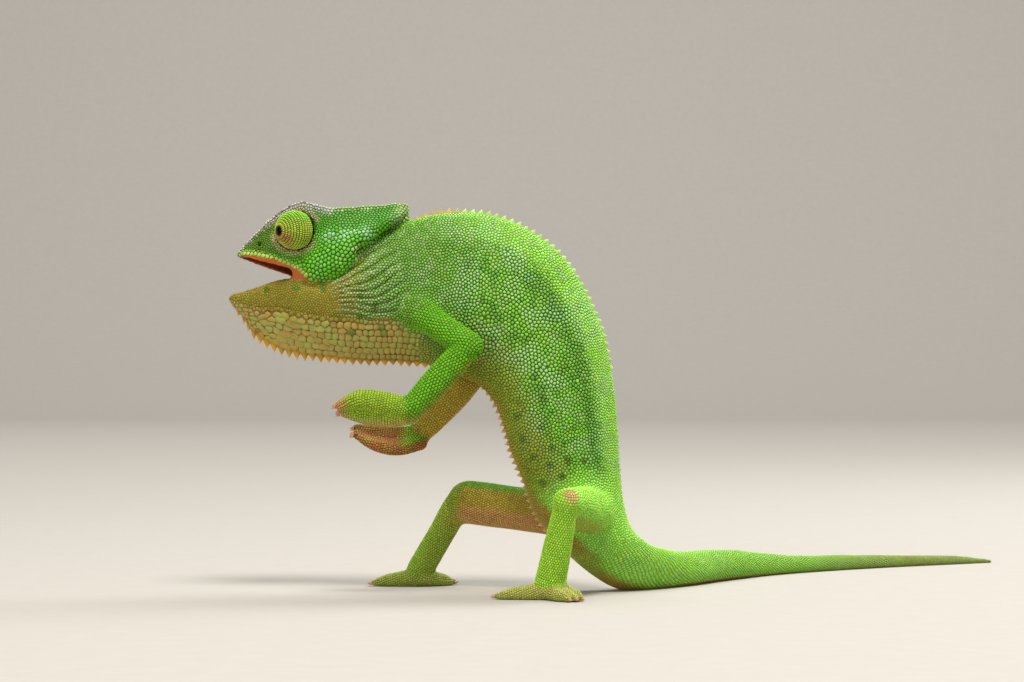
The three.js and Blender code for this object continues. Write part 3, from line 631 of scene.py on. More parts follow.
# The nearest few neighbours of each point, from a grid of cells as wide as the reach.
def neighbours(places, reach, count):
    cell = np.floor((places - places.min(0)) / reach).astype(int) + 1
    size = cell.max(0) + 2
    key = np.ravel_multi_index(cell.T, size)
    order = np.argsort(key, kind="stable")
    keys, first, held = np.unique(key[order], return_index=True, return_counts=True)
    table = np.full((len(keys) + 1, held.max()), -1)
    table[np.repeat(np.arange(len(keys)), held), np.arange(len(places)) - np.repeat(first, held)] = order
    row = np.full(size.prod(), len(keys))
    row[keys] = np.arange(len(keys))
    near = np.hstack([table[row[np.ravel_multi_index((cell + step).T - 1, size)]]
                      for step in np.array(list(np.ndindex(3, 3, 3)))])
    gap = np.linalg.norm(places[near] - places[:, None], axis=-1)
    gap[(near < 0) | (near == np.arange(len(places))[:, None])] = 1e3
    pick = np.argpartition(gap, count, axis=1)[:, :count]
    return np.take_along_axis(near, pick, 1), np.take_along_axis(gap, pick, 1)


# Distance between granules: small on snout, throat and back, largest on cheek and flank.
granule = {"flank": 0.83, "side": 0.08, "nape": 0.8, "back": 0.66, "belly": 0.76, "neck": 0.72, "jaw": 0.62,
           "cheek": 1.0, "snout": 0.6, "temple": 0.76, "socket": 0.6, "pelvis": 0.64, "limb": 0.76,
           "loin": 0.76}


def granulePitch(points, form, at, angle):
    low = np.abs(angle - np.pi) / np.pi  # 0 along the back, 1 along the belly
    pitch = granule["flank"] + granule["side"] * hill(np.hypot(points[:, 0] + 1, points[:, 2] - 60), 0, 14)
    pitch = toward(pitch, granule["loin"], smooth(12.8, 15.0, at))
    back = toward(granule["nape"], granule["back"], smooth(11.5, 13.0, at))
    pitch = np.where(low < 0.5, toward(pitch, back, smooth(0.28, 0.2, low)), pitch)
    for name, share in (("belly", smooth(0.66, 0.84, low)), ("neck", smooth(10.2, 8.4, at)),
                        ("jaw", smooth(6.2, 5.2, at)), ("pelvis", smooth(14.6, 16.2, at))):
        pitch = toward(pitch, granule[name], share)
    head = toward(granule["cheek"], granule["temple"], smooth(83.0, 86.0, rolled(points, -1)[:, 2]))
    head = toward(head, granule["snout"], smooth(-53, -57, points[:, 0]))
    head = toward(head, granule["socket"], smooth(8.2, 6.2, headGap(points, eye)))
    pitch = np.where(lay.isIn(form, "skull"), head, pitch)
    return np.where(lay.isIn(form, "upper_arm", "thigh"), granule["limb"], pitch)


# Kinds of scales; a higher kind keeps its place where two would meet.
kinds = {"granule": 1, "ring": 2, "throat": 3, "lip": 4, "bead": 5}


# Roots of the scales, as arrays: place, form, place along, angle round, pitch, stretch along the row.
def rootRows(name, points, along, angle, pitch, stretch, kind):
    count = len(points)
    return {"point": points, "form": np.full(count, lay.names.index(name)), "along": along,
            "angle": np.broadcast_to(angle, count), "pitch": np.broadcast_to(pitch, count).astype(float),
            "stretch": np.broadcast_to(stretch, count).astype(float), "kind": np.full(count, kinds[kind])}


def stackRoots(parts):
    return {key: np.concatenate([part[key] for part in parts]) for key in parts[0]}


def keepRoots(roots, kept):
    return {key: value[kept] for key, value in roots.items()}


def ringAngles(held):  # angles of the scales in each ring, every other ring half a step on
    return np.concatenate([(np.arange(count) + 0.5 * (ring % 2)) / count * 2 * np.pi
                           for ring, count in enumerate(held)])


scatterTo = 3.0  # how far down a limb the trunk's scattered granules reach
tailStart = 17.6  # station where the rings of the tail begin
rowSizes = {"upper_arm_left": (0.76, 0.78), "forearm_left": (0.74, 0.76), "upper_arm_right": (0.64, 0.66),
            "forearm_right": (0.62, 0.64), "thigh_right": (0.62, 0.62), "shin_left": (0.58, 0.6),
            "shin_right": (0.6, 0.62), "hand": (0.6, 0.62), "foot": (0.54, 0.56), "tail": (0.62, 0.66)}


# Rows round a tube: each ring holds circumference / pitch scales.
def ringRows(name, places, radii, gap, pitch):
    length = tubeLength(places)
    start = scatterTo if name.startswith(("upper_arm", "thigh")) else -1.3 * radii[0]
    s = np.arange(start, length + 1.45 * radii[-1], gap)
    girth = 2 * np.pi * (np.interp(s / length, np.linspace(0, 1, len(radii)), radii) - coatDepth)
    past = np.clip(np.maximum(-s / radii[0], (s - length) / radii[-1]), 0, 1.5)
    held = np.maximum(np.round(girth * np.cos(past) / pitch), 3).astype(int)
    angle, along = ringAngles(held), np.repeat(s, held)
    placed = tubeSurface(places, radii, along, angle)
    return rootRows(name, placed, along, angle, min(gap, pitch) * 1.04, 1.0, "ring")


def limbRows():
    lines = [(name, places, radii, name) for name, (places, radii) in limbs.items() if name != "thigh_left"]
    lines += [(*toe, toe[0].split("_")[0]) for toe in toes()]
    return stackRoots([ringRows(name, places, radii, *rowSizes[size]) for name, places, radii, size in lines])


def tailRings(gap, pitch):
    fine = np.linspace(0, lastStation, 4000)
    lengths = lengthsAlong((spineAt("back", fine) + spineAt("belly", fine)) / 2)
    start = np.interp(tailStart, fine, lengths)
    at = np.interp(np.arange(start, lengths[-1], gap), lengths, fine)
    radius = spineAt("girth", at)[:, 0]
    fits = np.minimum(pitch, 0.45 + 0.12 * radius)
    held = np.maximum(np.round(2 * np.pi * radius / fits), 6).astype(int)
    angle, at = ringAngles(held), np.repeat(at, held)
    return rootRows("spine", spineSurface(at, angle), at, angle, np.repeat(fits, held), 1.0, "ring")


# Long plates in the pleats of the throat, longer towards the chin. A row waves a little, and its angle
# is where the section has the row's height: cos(angle)^(2 / power) = 1 - height.
def throatRow(pleat, mirror):
    fine = np.linspace(throat["front"], throat["back"], 1200)
    deep = spineAt("girth", fine)[:, 1] * (spineAt("back", fine) - spineAt("belly", fine))[:, 2]
    wave = 0.13 * np.sin(2.3 * fine + 2.1 * pleat) * min(pleat, 1)
    height = (pleat + 0.5 + wave) * throat["gap"] / np.maximum(deep, throat["full"])
    angle = np.arccos(np.clip(1 - height, 0, 1) ** (spineAt("powers", fine)[:, 1] / 2))
    angle = 2 * np.pi - angle if mirror else angle
    lengths = lengthsAlong(spineSurface(fine, angle))
    step = 1.3 + 0.4 * smooth(8.0, 6.6, fine) + 0.5 * smooth(6.2, 3.4, fine)
    passed = np.concatenate([[0], (np.diff(lengths) / step[1:]).cumsum()])
    places = np.interp(np.arange(rng.random(), passed[-1]), passed, lengths)
    at = np.interp(places + rng.uniform(-0.42, 0.42, len(places)), lengths, fine)
    angle = np.interp(at, fine, angle)
    pitch = 0.6 + 0.75 * np.interp(at, [1, 2, 4], [0.3, 0.45, 1.0])
    pitch = pitch * (0.72 if pleat == throat["pleats"] - 1 else 1)
    stretch = 1.1 + 0.3 * smooth(8.0, 6.6, at) + 0.4 * smooth(6.2, 3.4, at)
    return rootRows("spine", spineSurface(at, angle), at, angle, pitch, stretch, "throat")


# The upper lip's row of plates, just above the gum, along the line where aboveLip is as wanted.
lipRow = {"pitch": 1.05, "stretch": 1.45, "above": 0.42}


def lipRows():
    t, sides = np.linspace(0.01, 0.47, 900), 260
    row = np.arange(len(t))
    parts = []
    for start, end in ((0.02, np.pi / 2 + 0.3), (2 * np.pi - 0.02, 1.5 * np.pi - 0.3)):
        angle = np.linspace(start, end, sides)
        grid = skullSurface(t[:, None], angle)
        form = np.full(len(t) * sides, lay.names.index("skull"))
        gap = mouthParts(grid.reshape(-1, 3), form, np.repeat(t, sides), np.tile(angle, len(t)))["aboveLip"]
        wanted = np.abs(gap - lipRow["above"]).reshape(len(t), sides)
        wanted[:, :40] = 9
        pick = wanted.argmin(1)
        line = grid[row, pick]
        kept = (line[:, 0] < -46.0) & (wanted[row, pick] < 0.3)
        lengths = lengthsAlong(line[kept])
        columns = np.column_stack([line, t, angle[pick]])[kept].T
        steps = np.arange(0.3, lengths[-1], lipRow["pitch"] * 1.1)
        x, y, z, at, turn = (np.interp(steps, lengths, column) for column in columns)
        parts.append(rootRows("skull", np.stack([x, y, z], -1), at, turn, 0.85, lipRow["stretch"], "lip"))
    return stackRoots(parts)


# Beads along both edges of the head's roof, from the snout over the eyes to the back of the casque.
beads = {"pitch": 0.78, "height": 0.36}


def browRows():
    t = np.linspace(0.03, 0.985, 900)
    parts = []
    for angle in (0.75 * np.pi, 1.25 * np.pi):
        lengths = lengthsAlong(skullSurface(t, angle))
        at = np.interp(np.arange(0, lengths[-1], beads["pitch"]), lengths, t)
        spots = skullSurface(at, angle)
        parts.append(rootRows("skull", spots, at, angle, beads["pitch"], 1.0, "bead"))
    return stackRoots(parts)


def granular(middle, form, at, angle):  # where the scattered granules grow
    mouth = mouthParts(middle, form, at, angle)
    bare = mouth["gum"] | mouth["vault"] | mouth["floor"] | mouth["web"]
    pleats = throatHeight(at, middle[:, 2]) < throat["pleats"] * throat["gap"]
    pleats = pleats & (at < throat["back"]) & (at > throat["front"])
    onHead = lay.isIn(form, "skull") & (headGap(middle, eye) >= 5.2) & (headGap(middle, nostril) >= 0.55)
    onHead = onHead & (mouth["aboveLip"] > 0.85)
    onTrunk = lay.isIn(form, "spine") & ~pleats & (at < 17.7)
    onLimbs = lay.isIn(form, "thigh_left") | (lay.isIn(form, "upper_arm", "thigh") & (at < scatterTo))
    return (((onHead | onTrunk) & ~bare) | onLimbs).astype(float)


# Granules scattered over head, neck and trunk: area / (0.866 * pitch^2) to a triangle, on the average.
def scattered():
    corners = points[triangles]
    area = np.linalg.norm(np.cross(corners[:, 1] - corners[:, 0], corners[:, 2] - corners[:, 0]), axis=1) / 2
    middle = corners.mean(1)
    placed = lay.find(middle)
    weight = area / (0.866 * granulePitch(middle, *placed) ** 2) * granular(middle, *placed)
    count = int(weight.sum() * 1.06)
    pick = rng.choice(len(weight), count, p=weight / weight.sum())
    a, b = np.sqrt(rng.random((count, 1))), rng.random((count, 1))
    spots = corners[pick, 0] * (1 - a) + corners[pick, 1] * a * (1 - b) + corners[pick, 2] * a * b
    form, at, angle = (column[pick] for column in placed)
    roots = rootRows("spine", spots, at, angle, granulePitch(spots, form, at, angle), 1.0, "granule")
    return {**roots, "form": form}


# Pushes roots apart until they lie evenly: a neighbour nearer than room moves a root by half of
# what is missing.
def relaxed(roots, fixed, rounds):
    moving = roots["point"]
    everyPitch = np.concatenate([roots["pitch"], fixed["pitch"]])
    for turn in range(rounds):
        everything = np.vstack([moving, fixed["point"]])
        near, gap = (found[:len(moving)] for found in neighbours(everything, 1.5, 8))
        room = (everyPitch[near] + roots["pitch"][:, None]) / 2 * 1.1
        push = np.clip(1 - gap / room, 0, 1) * room * 0.5
        off = (moving[:, None] - everything[near]) / np.maximum(gap, 0.05)[..., None]
        moving = ontoSkin(moving + (off * push[..., None]).sum(1))[0]
    return moving


# Drops a root that lies too near one of a higher kind, or an earlier one of its own kind.
def thinned(roots, share):
    near, gap = neighbours(roots["point"], 1.4, 8)
    pitch, kind = roots["pitch"], roots["kind"]
    earlier = near < np.arange(len(near))[:, None]
    stronger = (kind[near] > kind[:, None]) | ((kind[near] == kind[:, None]) & earlier)
    room = share * (pitch[near] + pitch[:, None]) / 2
    return keepRoots(roots, ~((gap < room) & stronger).any(1))


throatRows = [throatRow(pleat, mirror) for pleat in range(throat["pleats"]) for mirror in (0, 1)]
rowed = stackRoots([*throatRows, lipRows(), browRows(), limbRows(), tailRings(*rowSizes["tail"])])
rowed["point"], gap = ontoSkin(rowed["point"])
rowed = thinned(keepRoots(rowed, gap < 0.42), 0.6)
print("rows:", len(rowed["point"]))
loose = scattered()
for share, rounds, quickRounds in ((0.66, 14, 4), (0.58, 12, 2)):
    loose["point"] = relaxed(loose, rowed, rounds)
    roots = thinned(stackRoots([loose, rowed]), share)
    isLoose = roots["kind"] == kinds["granule"]
    loose, rowed = keepRoots(roots, isLoose), keepRoots(roots, ~isLoose)
print("scales:", len(roots["point"]))


def colour(code):  # sRGB hex to linear
    values = np.array([int(code[start:start + 2], 16) for start in (1, 3, 5)]) / 255
    return np.where(values <= 0.04045, values / 12.92, ((values + 0.055) / 1.055) ** 2.4)


def plainColours(mark, count):  # the scales' colour and the colour between them, the same everywhere
    return [np.tile(colour(code), (count, 1)) for code in mark]


def cover(colours, mark, amount, scales=True):  # lays a mark over: value + (mark - value) * amount
    share = np.clip(np.asarray(amount, float), 0, 1)[:, None]
    for values, code in list(zip(colours, mark))[0 if scales else 1:]:
        values += (colour(code) - values) * share


# Markings, shared by skin and scales. Each layer: the scale's colour, the colour between scales.
marks = {
    "flank": ("#7aba28", "#223a04"), "flankPale": ("#92ba6a", "#3e6018"), "flankDeep": ("#529014", "#1a3404"),
    "lower": ("#8b9c2a", "#5a6414"), "belly": ("#9c9026", "#70641a"), "back": ("#92ce3a", "#5a9a1e"),
    "backPale": ("#90be58", "#5e9632"), "spot": ("#5a7c18", "#324a0c"),
    "neck": ("#68a026", "#44561a"), "neckPale": ("#aac688", "#5e6a34"),
    "crease": ("#71823a", "#463f18"), "browDark": ("#6a6058", "#4a423a"),
    "cheek": ("#62b01c", "#1c4e04"), "cheekBand": ("#a4d2a6", "#4c8c34"), "temple": ("#509818", "#1f4e04"),
    "snout": ("#587f18", "#2c480a"), "lip": ("#a8cb5c", "#6b7a2c"), "casque": ("#a4bf78", "#6c7e38"),
    "brow": ("#bcb6b4", "#8a847e"), "socket": ("#b0aa74", "#6a663a"),
    "jaw": ("#8f8626", "#74661c"), "throat": ("#ab9a4c", "#8c5428"), "throatGreen": ("#9ea856", "#865a2c"),
    "arm": ("#6aac16", "#285c06"), "armUnder": ("#96942a", "#6c5c18"), "hand": ("#9cba30", "#5c6c12"),
    "fingertip": ("#c58f5a", "#8a5a34"), "palm": ("#a8623a", "#743a1a"),
    "farArm": ("#c6a640", "#987a2c"), "farThigh": ("#b09c36", "#7c6a1e"),
    "farThighLow": ("#c09454", "#8c6032"),
    "farShin": ("#92a836", "#566a10"), "shin": ("#a4d63c", "#467612"), "knee": ("#c8b06a", "#8a7038"),
    "foot": ("#b4b65c", "#707426"), "pelvis": ("#9edc4a", "#629e26"), "tailTop": ("#88c234", "#589424"),
    "tailUnder": ("#a8903a", "#76601e"), "tailTip": ("#8c9048", "#5c6028"),
    "browBand": ("#a29a6c", "#6a6440"), "pleat": ("#92421e", "#92421e"),
    "gum": ("#c8662a", "#c8662a"), "vault": ("#5c2210", "#5c2210"), "web": ("#b5602c", "#b5602c"),
    # Near-black painted shade for the nostril's hole, the crevice round the eye turret and the shadow under
    # the brow.
    "floor": ("#b0744a", "#b0744a"), "paintedShade": ("#1c1408", "#1c1408"),
}
# Dark spots low on the flank and on the jaw: x, z, radius.
spots = np.array([(1.2, 41.1, 0.9), (2.6, 36.2, 0.9), (7.2, 46.0, 1.0), (6.8, 39.0, 0.9), (9.5, 34.1, 1.0),
                  (5.1, 31.8, 0.9), (13.0, 31.4, 1.0), (8.8, 30.2, 0.8), (16.8, 31.1, 0.9), (7.2, 26.0, 0.9),
                  (11.6, 27.4, 0.9), (-50.4, 71.6, 1.0), (-44.0, 71.4, 0.9), (-31.8, 67.1, 1.1),
                  (-57.4, 71.0, 0.8), (-35.5, 64.9, 0.7), (-37.1, 60.9, 0.7), (-30.1, 61.8, 0.8),
                  (-27.1, 57.9, 0.7), (-42.5, 62.6, 0.6), (-54.6, 64.4, 0.5), (-35.4, 69.4, 0.8)])

def paintAt(points, normals, form, at, angle):
    colours = plainColours(marks["flank"], len(points))

    def paint(name, amount):
        cover(colours, marks[name], amount)

    x, y, z = points.T
    low = np.abs(angle - np.pi) / np.pi
    onSpine, onSkull = lay.isIn(form, "spine"), lay.isIn(form, "skull")
    patch, fine = blotches(points, 2.4), blotches(points, 1.1, 9.0)
    trunk = onSpine * smooth(7.5, 10, at)
    paint("flankPale", 0.5 * smooth(0.5, 0.72, 0.45 * patch + 0.55 * fine) * trunk)
    paint("flankDeep", 0.7 * smooth(0.48, 0.32, 0.45 * patch + 0.55 * fine) * trunk)
    paint("back", trunk * smooth(0.27, 0.22, low + 0.02 * (patch - 0.5)))
    paint("backPale", trunk * smooth(0.3, 0.2, low) * smooth(0.5, 0.7, fine))
    streak = hill(low, 0.315, 0.035) * smooth(10.0, 11.5, at) * smooth(0.15, 0.5, patch)
    paint("flankDeep", trunk * streak * 0.85)
    paint("lower", trunk * smooth(0.55, 0.8, low + 0.12 * smooth(46, 30, z) + 0.06 * (patch - 0.5)))
    paint("belly", trunk * smooth(0.82, 0.95, low))
    paint("pelvis", onSpine * smooth(14.6, 16.5, at) * smooth(0.95, 0.7, low))
    underLine = z - (13.6 - 0.96 * (x - 14.9)) - 0.8 * (patch - 0.5)
    under = smooth(1.4, -1.4, underLine) * smooth(0.5, 0.56, low)
    paint("tailUnder", onSpine * smooth(15.0, 16.0, at) * smooth(20.5, 19.0, at) * under)
    tail = onSpine * smooth(17.0, 18.5, at)
    paint("tailTop", tail)
    paint("pelvis", tail * smooth(21.0, 18.0, at) * 0.9)
    paint("tailUnder", tail * smooth(0.72, 0.84, low) * smooth(27, 22, at))
    paint("tailTip", tail * smooth(23.5, 29, at) * 0.8)
    paint("backPale", tail * 0.4 * hill(low, 0.26, 0.05) * smooth(0.4, 0.6, patch))

    neck = onSpine * smooth(10.4, 8.6, at) * (low > 0.1)
    paint("neck", neck * 0.85)
    paint("neckPale", neck * smooth(0.5, 0.75, fine) * 0.35)
    height = throatHeight(at, z)
    jaw = onSpine * smooth(9.4, 7.6, at + 0.05 * (height - 6))
    throatShare = jaw * smooth(11.0, 8.4, height + 1.6 * (patch - 0.5))
    paint("throat", throatShare)
    green = 0.6 * smooth(0.42, 0.72, blotches(points, 2.4, 4.0))
    paint("throatGreen", throatShare * green * smooth(1.0, 3.0, height))
    paint("jaw", onSpine * smooth(7.2, 6.0, at) * smooth(7.8, 9.8, height + 1.6 * (patch - 0.5)))
    pleat = (height / throat["gap"]) % 1
    cover(colours, marks["pleat"], 0.75 * throatShare * hill(pleat, np.round(pleat), 0.19), scales=False)

    headZ = rolled(points, -1)[:, 2]
    mouth = mouthParts(points, form, at, angle)
    paint("cheek", onSkull)
    paint("temple", onSkull * smooth(83.5, 86.5, headZ))
    band = hill(headZ, 83.8 + 0.06 * (x + 40), 1.5) * smooth(-46, -43, x) * smooth(-31, -34, x)
    paint("cheekBand", onSkull * band * smooth(0.35, 0.6, fine) * 0.6)
    paint("snout", onSkull * smooth(-53.5, -57, x))
    paint("lip", onSkull * smooth(1.25, 0.7, mouth["aboveLip"]) * smooth(-47, -49, x))
    ring = headGap(points, eye)
    beneath = eye["z"] - headZ - 0.25 * (x - eye["x"])
    paint("socket", onSkull * hill(ring, socket["rim"], 0.7) * smooth(0.2, 2.6, beneath))
    offRoof = np.abs(angle - np.pi)
    band = smooth(5.0, 5.3, ring) * smooth(6.8, 6.2, ring) * smooth(1.5, 3.0, headZ - eye["z"])
    paint("browBand", onSkull * band * smooth(0.7, 0.85, offRoof) * 0.8)
    corner = np.abs(offRoof - np.pi / 4)
    paint("brow", onSkull * hill(corner, 0, 0.115) * smooth(-40, -43, x))
    paint("snout", onSkull * smooth(0.75, 0.55, offRoof) * smooth(-44, -50, x) * 0.7)
    paint("casque", onSkull * smooth(-29.0, -25.6, x + 0.8 * (fine - 0.5)) * 0.75)
    paint("casque", onSkull * hill(corner, 0, 0.07) * smooth(-44, -41, x) * 0.9)

    crease, folded = neckFolds(points, form)
    paint("neckPale", folded * smooth(0.12, 0.02, crease) * smooth(-24, -34, x) * 0.6)
    paint("crease", folded * smooth(0.25, 0.75, crease) * 0.8)
    upperArm, forearm = lay.isIn(form, "upper_arm"), lay.isIn(form, "forearm")
    paint("arm", lay.isIn(form, "forearm", "shin", "thigh"))
    paint("neck", upperArm * smooth(7.0, 0.0, at))
    paint("neckPale", upperArm * smooth(5.0, -1.0, at) * smooth(0.5, 0.75, fine) * 0.4)
    paint("arm", upperArm * smooth(-1.0, 6.0, at))
    shoulderGap = np.linalg.norm(points - np.array([-22.6, -9.5, 67.0]), axis=1)
    paint("arm", onSpine * smooth(7.5, 2.5, shoulderGap) * 0.7)
    right = (y > 0) & ~onSpine & ~onSkull
    paint("armUnder", forearm * smooth(-0.45, -0.9, normals[:, 2] - 0.3 * normals[:, 0]) * 0.8)
    farLight = 0.2 - normals[:, 2] * 0.8 - normals[:, 1] * 0.9
    paint("farArm", ((upperArm | forearm) & right) * smooth(-0.5, 0.3, farLight) * 0.9)
    thigh, shin = lay.isIn(form, "thigh_right"), lay.isIn(form, "shin_right")
    nearKnee, outward, upward = smooth(33.0, 26.0, at), normals[:, 1], normals[:, 2]
    paint("farThigh", thigh * nearKnee * smooth(0.5, 0.0, outward) * smooth(0.95, 0.6, upward))
    paint("farThighLow", thigh * nearKnee * smooth(0.1, -0.35, upward) * smooth(0.8, 0.2, outward))
    paint("farShin", thigh * (1 - nearKnee))
    paint("farShin", shin * smooth(0.6, 0.0, outward))
    paint("farThigh", shin * smooth(6.5, 0.0, at) * smooth(0.95, 0.6, upward) * 0.8)
    paint("shin", shin * smooth(0.1, -0.9, normals[:, 0]) * 0.5)
    hips = np.array([(17.6, -7.0, 19.0), (14.0, 6.5, 18.0)])
    hipGap = np.linalg.norm(points[:, None] - hips, axis=2).min(1)
    thighLeft = lay.isIn(form, "thigh_left")
    hip = lay.isIn(form, "spine", "thigh") * smooth(12.0, 7.0, hipGap)
    paint("pelvis", hip * smooth(-0.6, 1.2, underLine))
    paint("pelvis", thighLeft * smooth(5.0, 8.0, hipGap))
    paint("tailUnder", thighLeft * smooth(-0.5, -0.95, upward) * 0.6)
    paint("shin", lay.isIn(form, "shin_left"))
    kneeGap = np.linalg.norm(points - np.array([13.6, -27.8, 24.2]), axis=1)
    paint("knee", smooth(2.6, 1.4, kneeGap + 0.8 * (fine - 0.5)) * lay.isIn(form, "shin_left", "thigh_left"))
    hands, feet = lay.isIn(form, "hand"), lay.isIn(form, "foot")
    paint("arm", hands | feet)
    paint("hand", hands * smooth(-21, -27, x) * 0.9)
    paint("fingertip", hands * smooth(-37, -40.5, x - 0.8 * (fine - 0.5)) * 0.9)
    inner = np.maximum(smooth(0.35, -0.2, upward + 0.3 * outward), smooth(-24, -28, x))
    paint("palm", (hands & right) * inner * (0.65 + 0.35 * patch))
    paint("fingertip", (hands & ~right) * smooth(41.6, 39.8, z) * smooth(0.0, -0.6, upward) * 0.6)
    paint("foot", feet * smooth(4.6, 3.0, z))
    paint("farShin", (feet & right) * 0.55)

    spotGap = np.min(np.hypot(x[:, None] - spots[:, 0], z[:, None] - spots[:, 1]) / spots[:, 2], axis=1)
    paint("spot", onSpine * smooth(1.15, 0.75, spotGap + 0.5 * (fine - 0.5)) * 0.85)
    paint("jaw", lay.isIn(form, "web"))
    for name in ("gum", "web", "floor", "vault"):
        paint(name, mouth[name])
    hole = smooth(nostril["radius"] + 0.1, nostril["radius"] - 0.15, headGap(points, nostril))
    # Painted shade: the nostril's hole is painted near-black.
    paint("paintedShade", onSkull * hole)
    inSocket = onSkull * smooth(socket["radius"] + 0.05, socket["radius"] - 0.15, ring)
    inSocket = inSocket * (headZ > 79)
    paint("socket", inSocket)
    # Painted shade: the deep crevice round the eye turret is painted dark.
    paint("paintedShade", inSocket * smooth(4.75, 4.5, ring) * 0.7)
    # Painted shadow: a dark line in the gap above the turret, under the brow.
    paint("paintedShade", onSkull * hill(ring, 4.92, 0.22) * smooth(0.5, 2.5, headZ - eye["z"]) * 0.85)
    return colours


# How strongly the tops of the scales carry a painted highlight, a pale bluish reflection of the sky: most
# high on the flank and behind the cheek.
def apexShare(points, form, at, angle):
    low = np.abs(angle - np.pi) / np.pi
    onSpine = lay.isIn(form, "spine")
    share = onSpine * smooth(6.5, 9, at) * (0.25 + 0.75 * smooth(0.4, 0.65, blotches(points, 5.0, 2.0)))
    share = share * smooth(0.85, 0.6, low) * (1 - 0.5 * smooth(12.5, 15.5, at))
    flecks = onSpine * smooth(14.5, 17, at) * smooth(0.42, 0.62, blotches(points, 1.5, 7.0)) * 0.55
    cheek = lay.isIn(form, "skull") * smooth(-52, -46, points[:, 0]) * 0.3
    cheek = cheek * smooth(0.35, 0.65, blotches(points, 3.0, 5.0))
    return np.maximum(np.maximum(share, flecks * smooth(0.8, 0.6, low)), cheek)


# The unwrap: each form a rectangle of (along, round), head and spine large, limbs and toes in two bands.
def unwrapPlace(form, at, angle):
    small = len(lay.names) - 2 - len(limbs)
    corner = np.array([(0.01, 0.01), (0.01, 0.53)]
                      + [(0.43 + 0.07 * step, 0.53) for step in range(len(limbs))]
                      + [(0.01 + 0.0445 * step, 0.79) for step in range(small)])
    size = np.array([(0.98, 0.5), (0.4, 0.24)] + [(0.064, 0.24)] * len(limbs) + [(0.041, 0.19)] * small)
    start, end = np.array([lay.along[lay.form == number][[0, -1]] for number in range(len(lay.names))]).T
    share = (at - start[form]) / (end - start)[form]
    return corner[form] + size[form] * np.stack([np.clip(share, 0, 1), angle / (2 * np.pi)], -1)


# OFBake: the corners of each scale or thorn lie in rings round its root's place on the unwrap.
def bakeMap(made, roots, sides, reaches, size):
    turn = np.arange(sides) / sides * 2 * np.pi
    flat = np.stack([np.cos(turn), np.sin(turn)], -1)
    spread = np.concatenate([flat * reach for reach in reaches] + [[[0, 0]]]) * size
    centres = unwrapPlace(roots["form"], roots["along"], roots["angle"])
    scale, corner = np.divmod(meshValues(made.data.loops, "vertex_index", 1).astype(int), len(spread))
    uvs = made.data.uv_layers.new(name="OFBake")
    uvs.data.foreach_set("uv", (centres[scale] + spread[corner]).astype(np.float32).ravel())


# One scale: a low dome whose foot lies under the skin, with a shoulder a bevel in from it. Its outline
# in eight directions is half the distance to the neighbours, over the cosine between, so the scales
# pack like cells.
scale = {"sides": 8, "gap": 0.985, "cap": 0.78, "bevel": 0.11, "shoulder": 0.66, "sunk": 0.06,
         "patch": 0.0014}
turns = np.arange(scale["sides"]) / scale["sides"] * 2 * np.pi


def scaleReach(roots):  # the outline of each scale, as reaches in the eight directions
    places, way = roots["point"], roots["way"][:, None]
    near, gap = neighbours(places, 1.9, 12)
    off = places[near] - places[:, None]
    lift = np.abs((off * roots["lie"][:, None]).sum(-1))
    ahead = (off * way).sum(-1)
    beside = (off * np.cross(roots["lie"], roots["way"])[:, None]).sum(-1)
    usable = (gap < 1.9) & (lift < 0.7 * gap)
    reach = []
    for turn in turns:
        towards = ahead * math.cos(turn) + beside * math.sin(turn)
        half = (ahead ** 2 + beside ** 2) / np.maximum(towards, 1e-6) / 2
        half = np.where(usable & (towards > 0.25 * gap), half, 9).min(1)
        stretched = np.sqrt((math.cos(turn) * roots["stretch"]) ** 2 + math.sin(turn) ** 2)
        reach.append(np.minimum(half * scale["gap"], scale["cap"] * roots["pitch"] * stretched))
    return np.maximum(np.stack(reach, -1), 0.12)


def scaleMesh(name, roots):
    sides, count = scale["sides"], len(roots["point"])
    base, out, way = (roots[key][:, None] for key in ("point", "lie", "way"))
    reach, height = roots["reach"][..., None], roots["height"][:, None, None]
    spoke = around(turns, way, np.cross(out, way))
    foot = base + spoke * reach - out * scale["sunk"]
    inner = np.maximum(reach - scale["bevel"], 0.6 * reach)
    shoulder = base + spoke * inner + out * height * scale["shoulder"]
    verts = np.concatenate([foot, shoulder, base + out * height], axis=1)
    verts[..., 2] = np.maximum(verts[..., 2], 0.0)
    each = verts.shape[1]
    made = makeMesh(name, verts.reshape(-1, 3), stackFaces(count, 2, sides))
    paint, ground, apex = (np.repeat(roots[key], each, axis=0) for key in ("crown", "ground", "apex"))
    lift = np.tile(np.repeat([0.0, 0.75, 1.0], [sides, sides, 1]), count)
    # apex: how much pale painted highlight the top of each scale carries
    addAttributes(made, paint=paint, ground=ground, lift=lift, apex=apex)
    bakeMap(made, roots, sides, (1, 0.75), scale["patch"])
    return made


# How each scale lies, how far it reaches, how high it stands and what colour it has.
form, along, kind = roots["form"], roots["along"], roots["kind"]
onSpine, onSkull = lay.isIn(form, "spine"), lay.isIn(form, "skull")
roots["lie"] = skinLie[nearestIndex(skinTree, roots["point"])]
way = lay.alongStep[nearestIndex(lay.tree, roots["point"])]
roots["way"] = unit(way - roots["lie"] * (way * roots["lie"]).sum(-1, keepdims=True))
roots["reach"] = scaleReach(roots)

height = np.minimum(0.33 * roots["pitch"], 0.33)
for name, tall in (("throat", 0.09), ("lip", 0.17), ("bead", beads["height"])):
    height = np.where(kind == kinds[name], tall, height)
height = height * (1 - 0.5 * onSpine * smooth(7.0, 5.6, along) * (kind == kinds["granule"]))
roots["height"] = height * (1 - 0.5 * onSpine * smooth(lastStation - 4, lastStation, along))

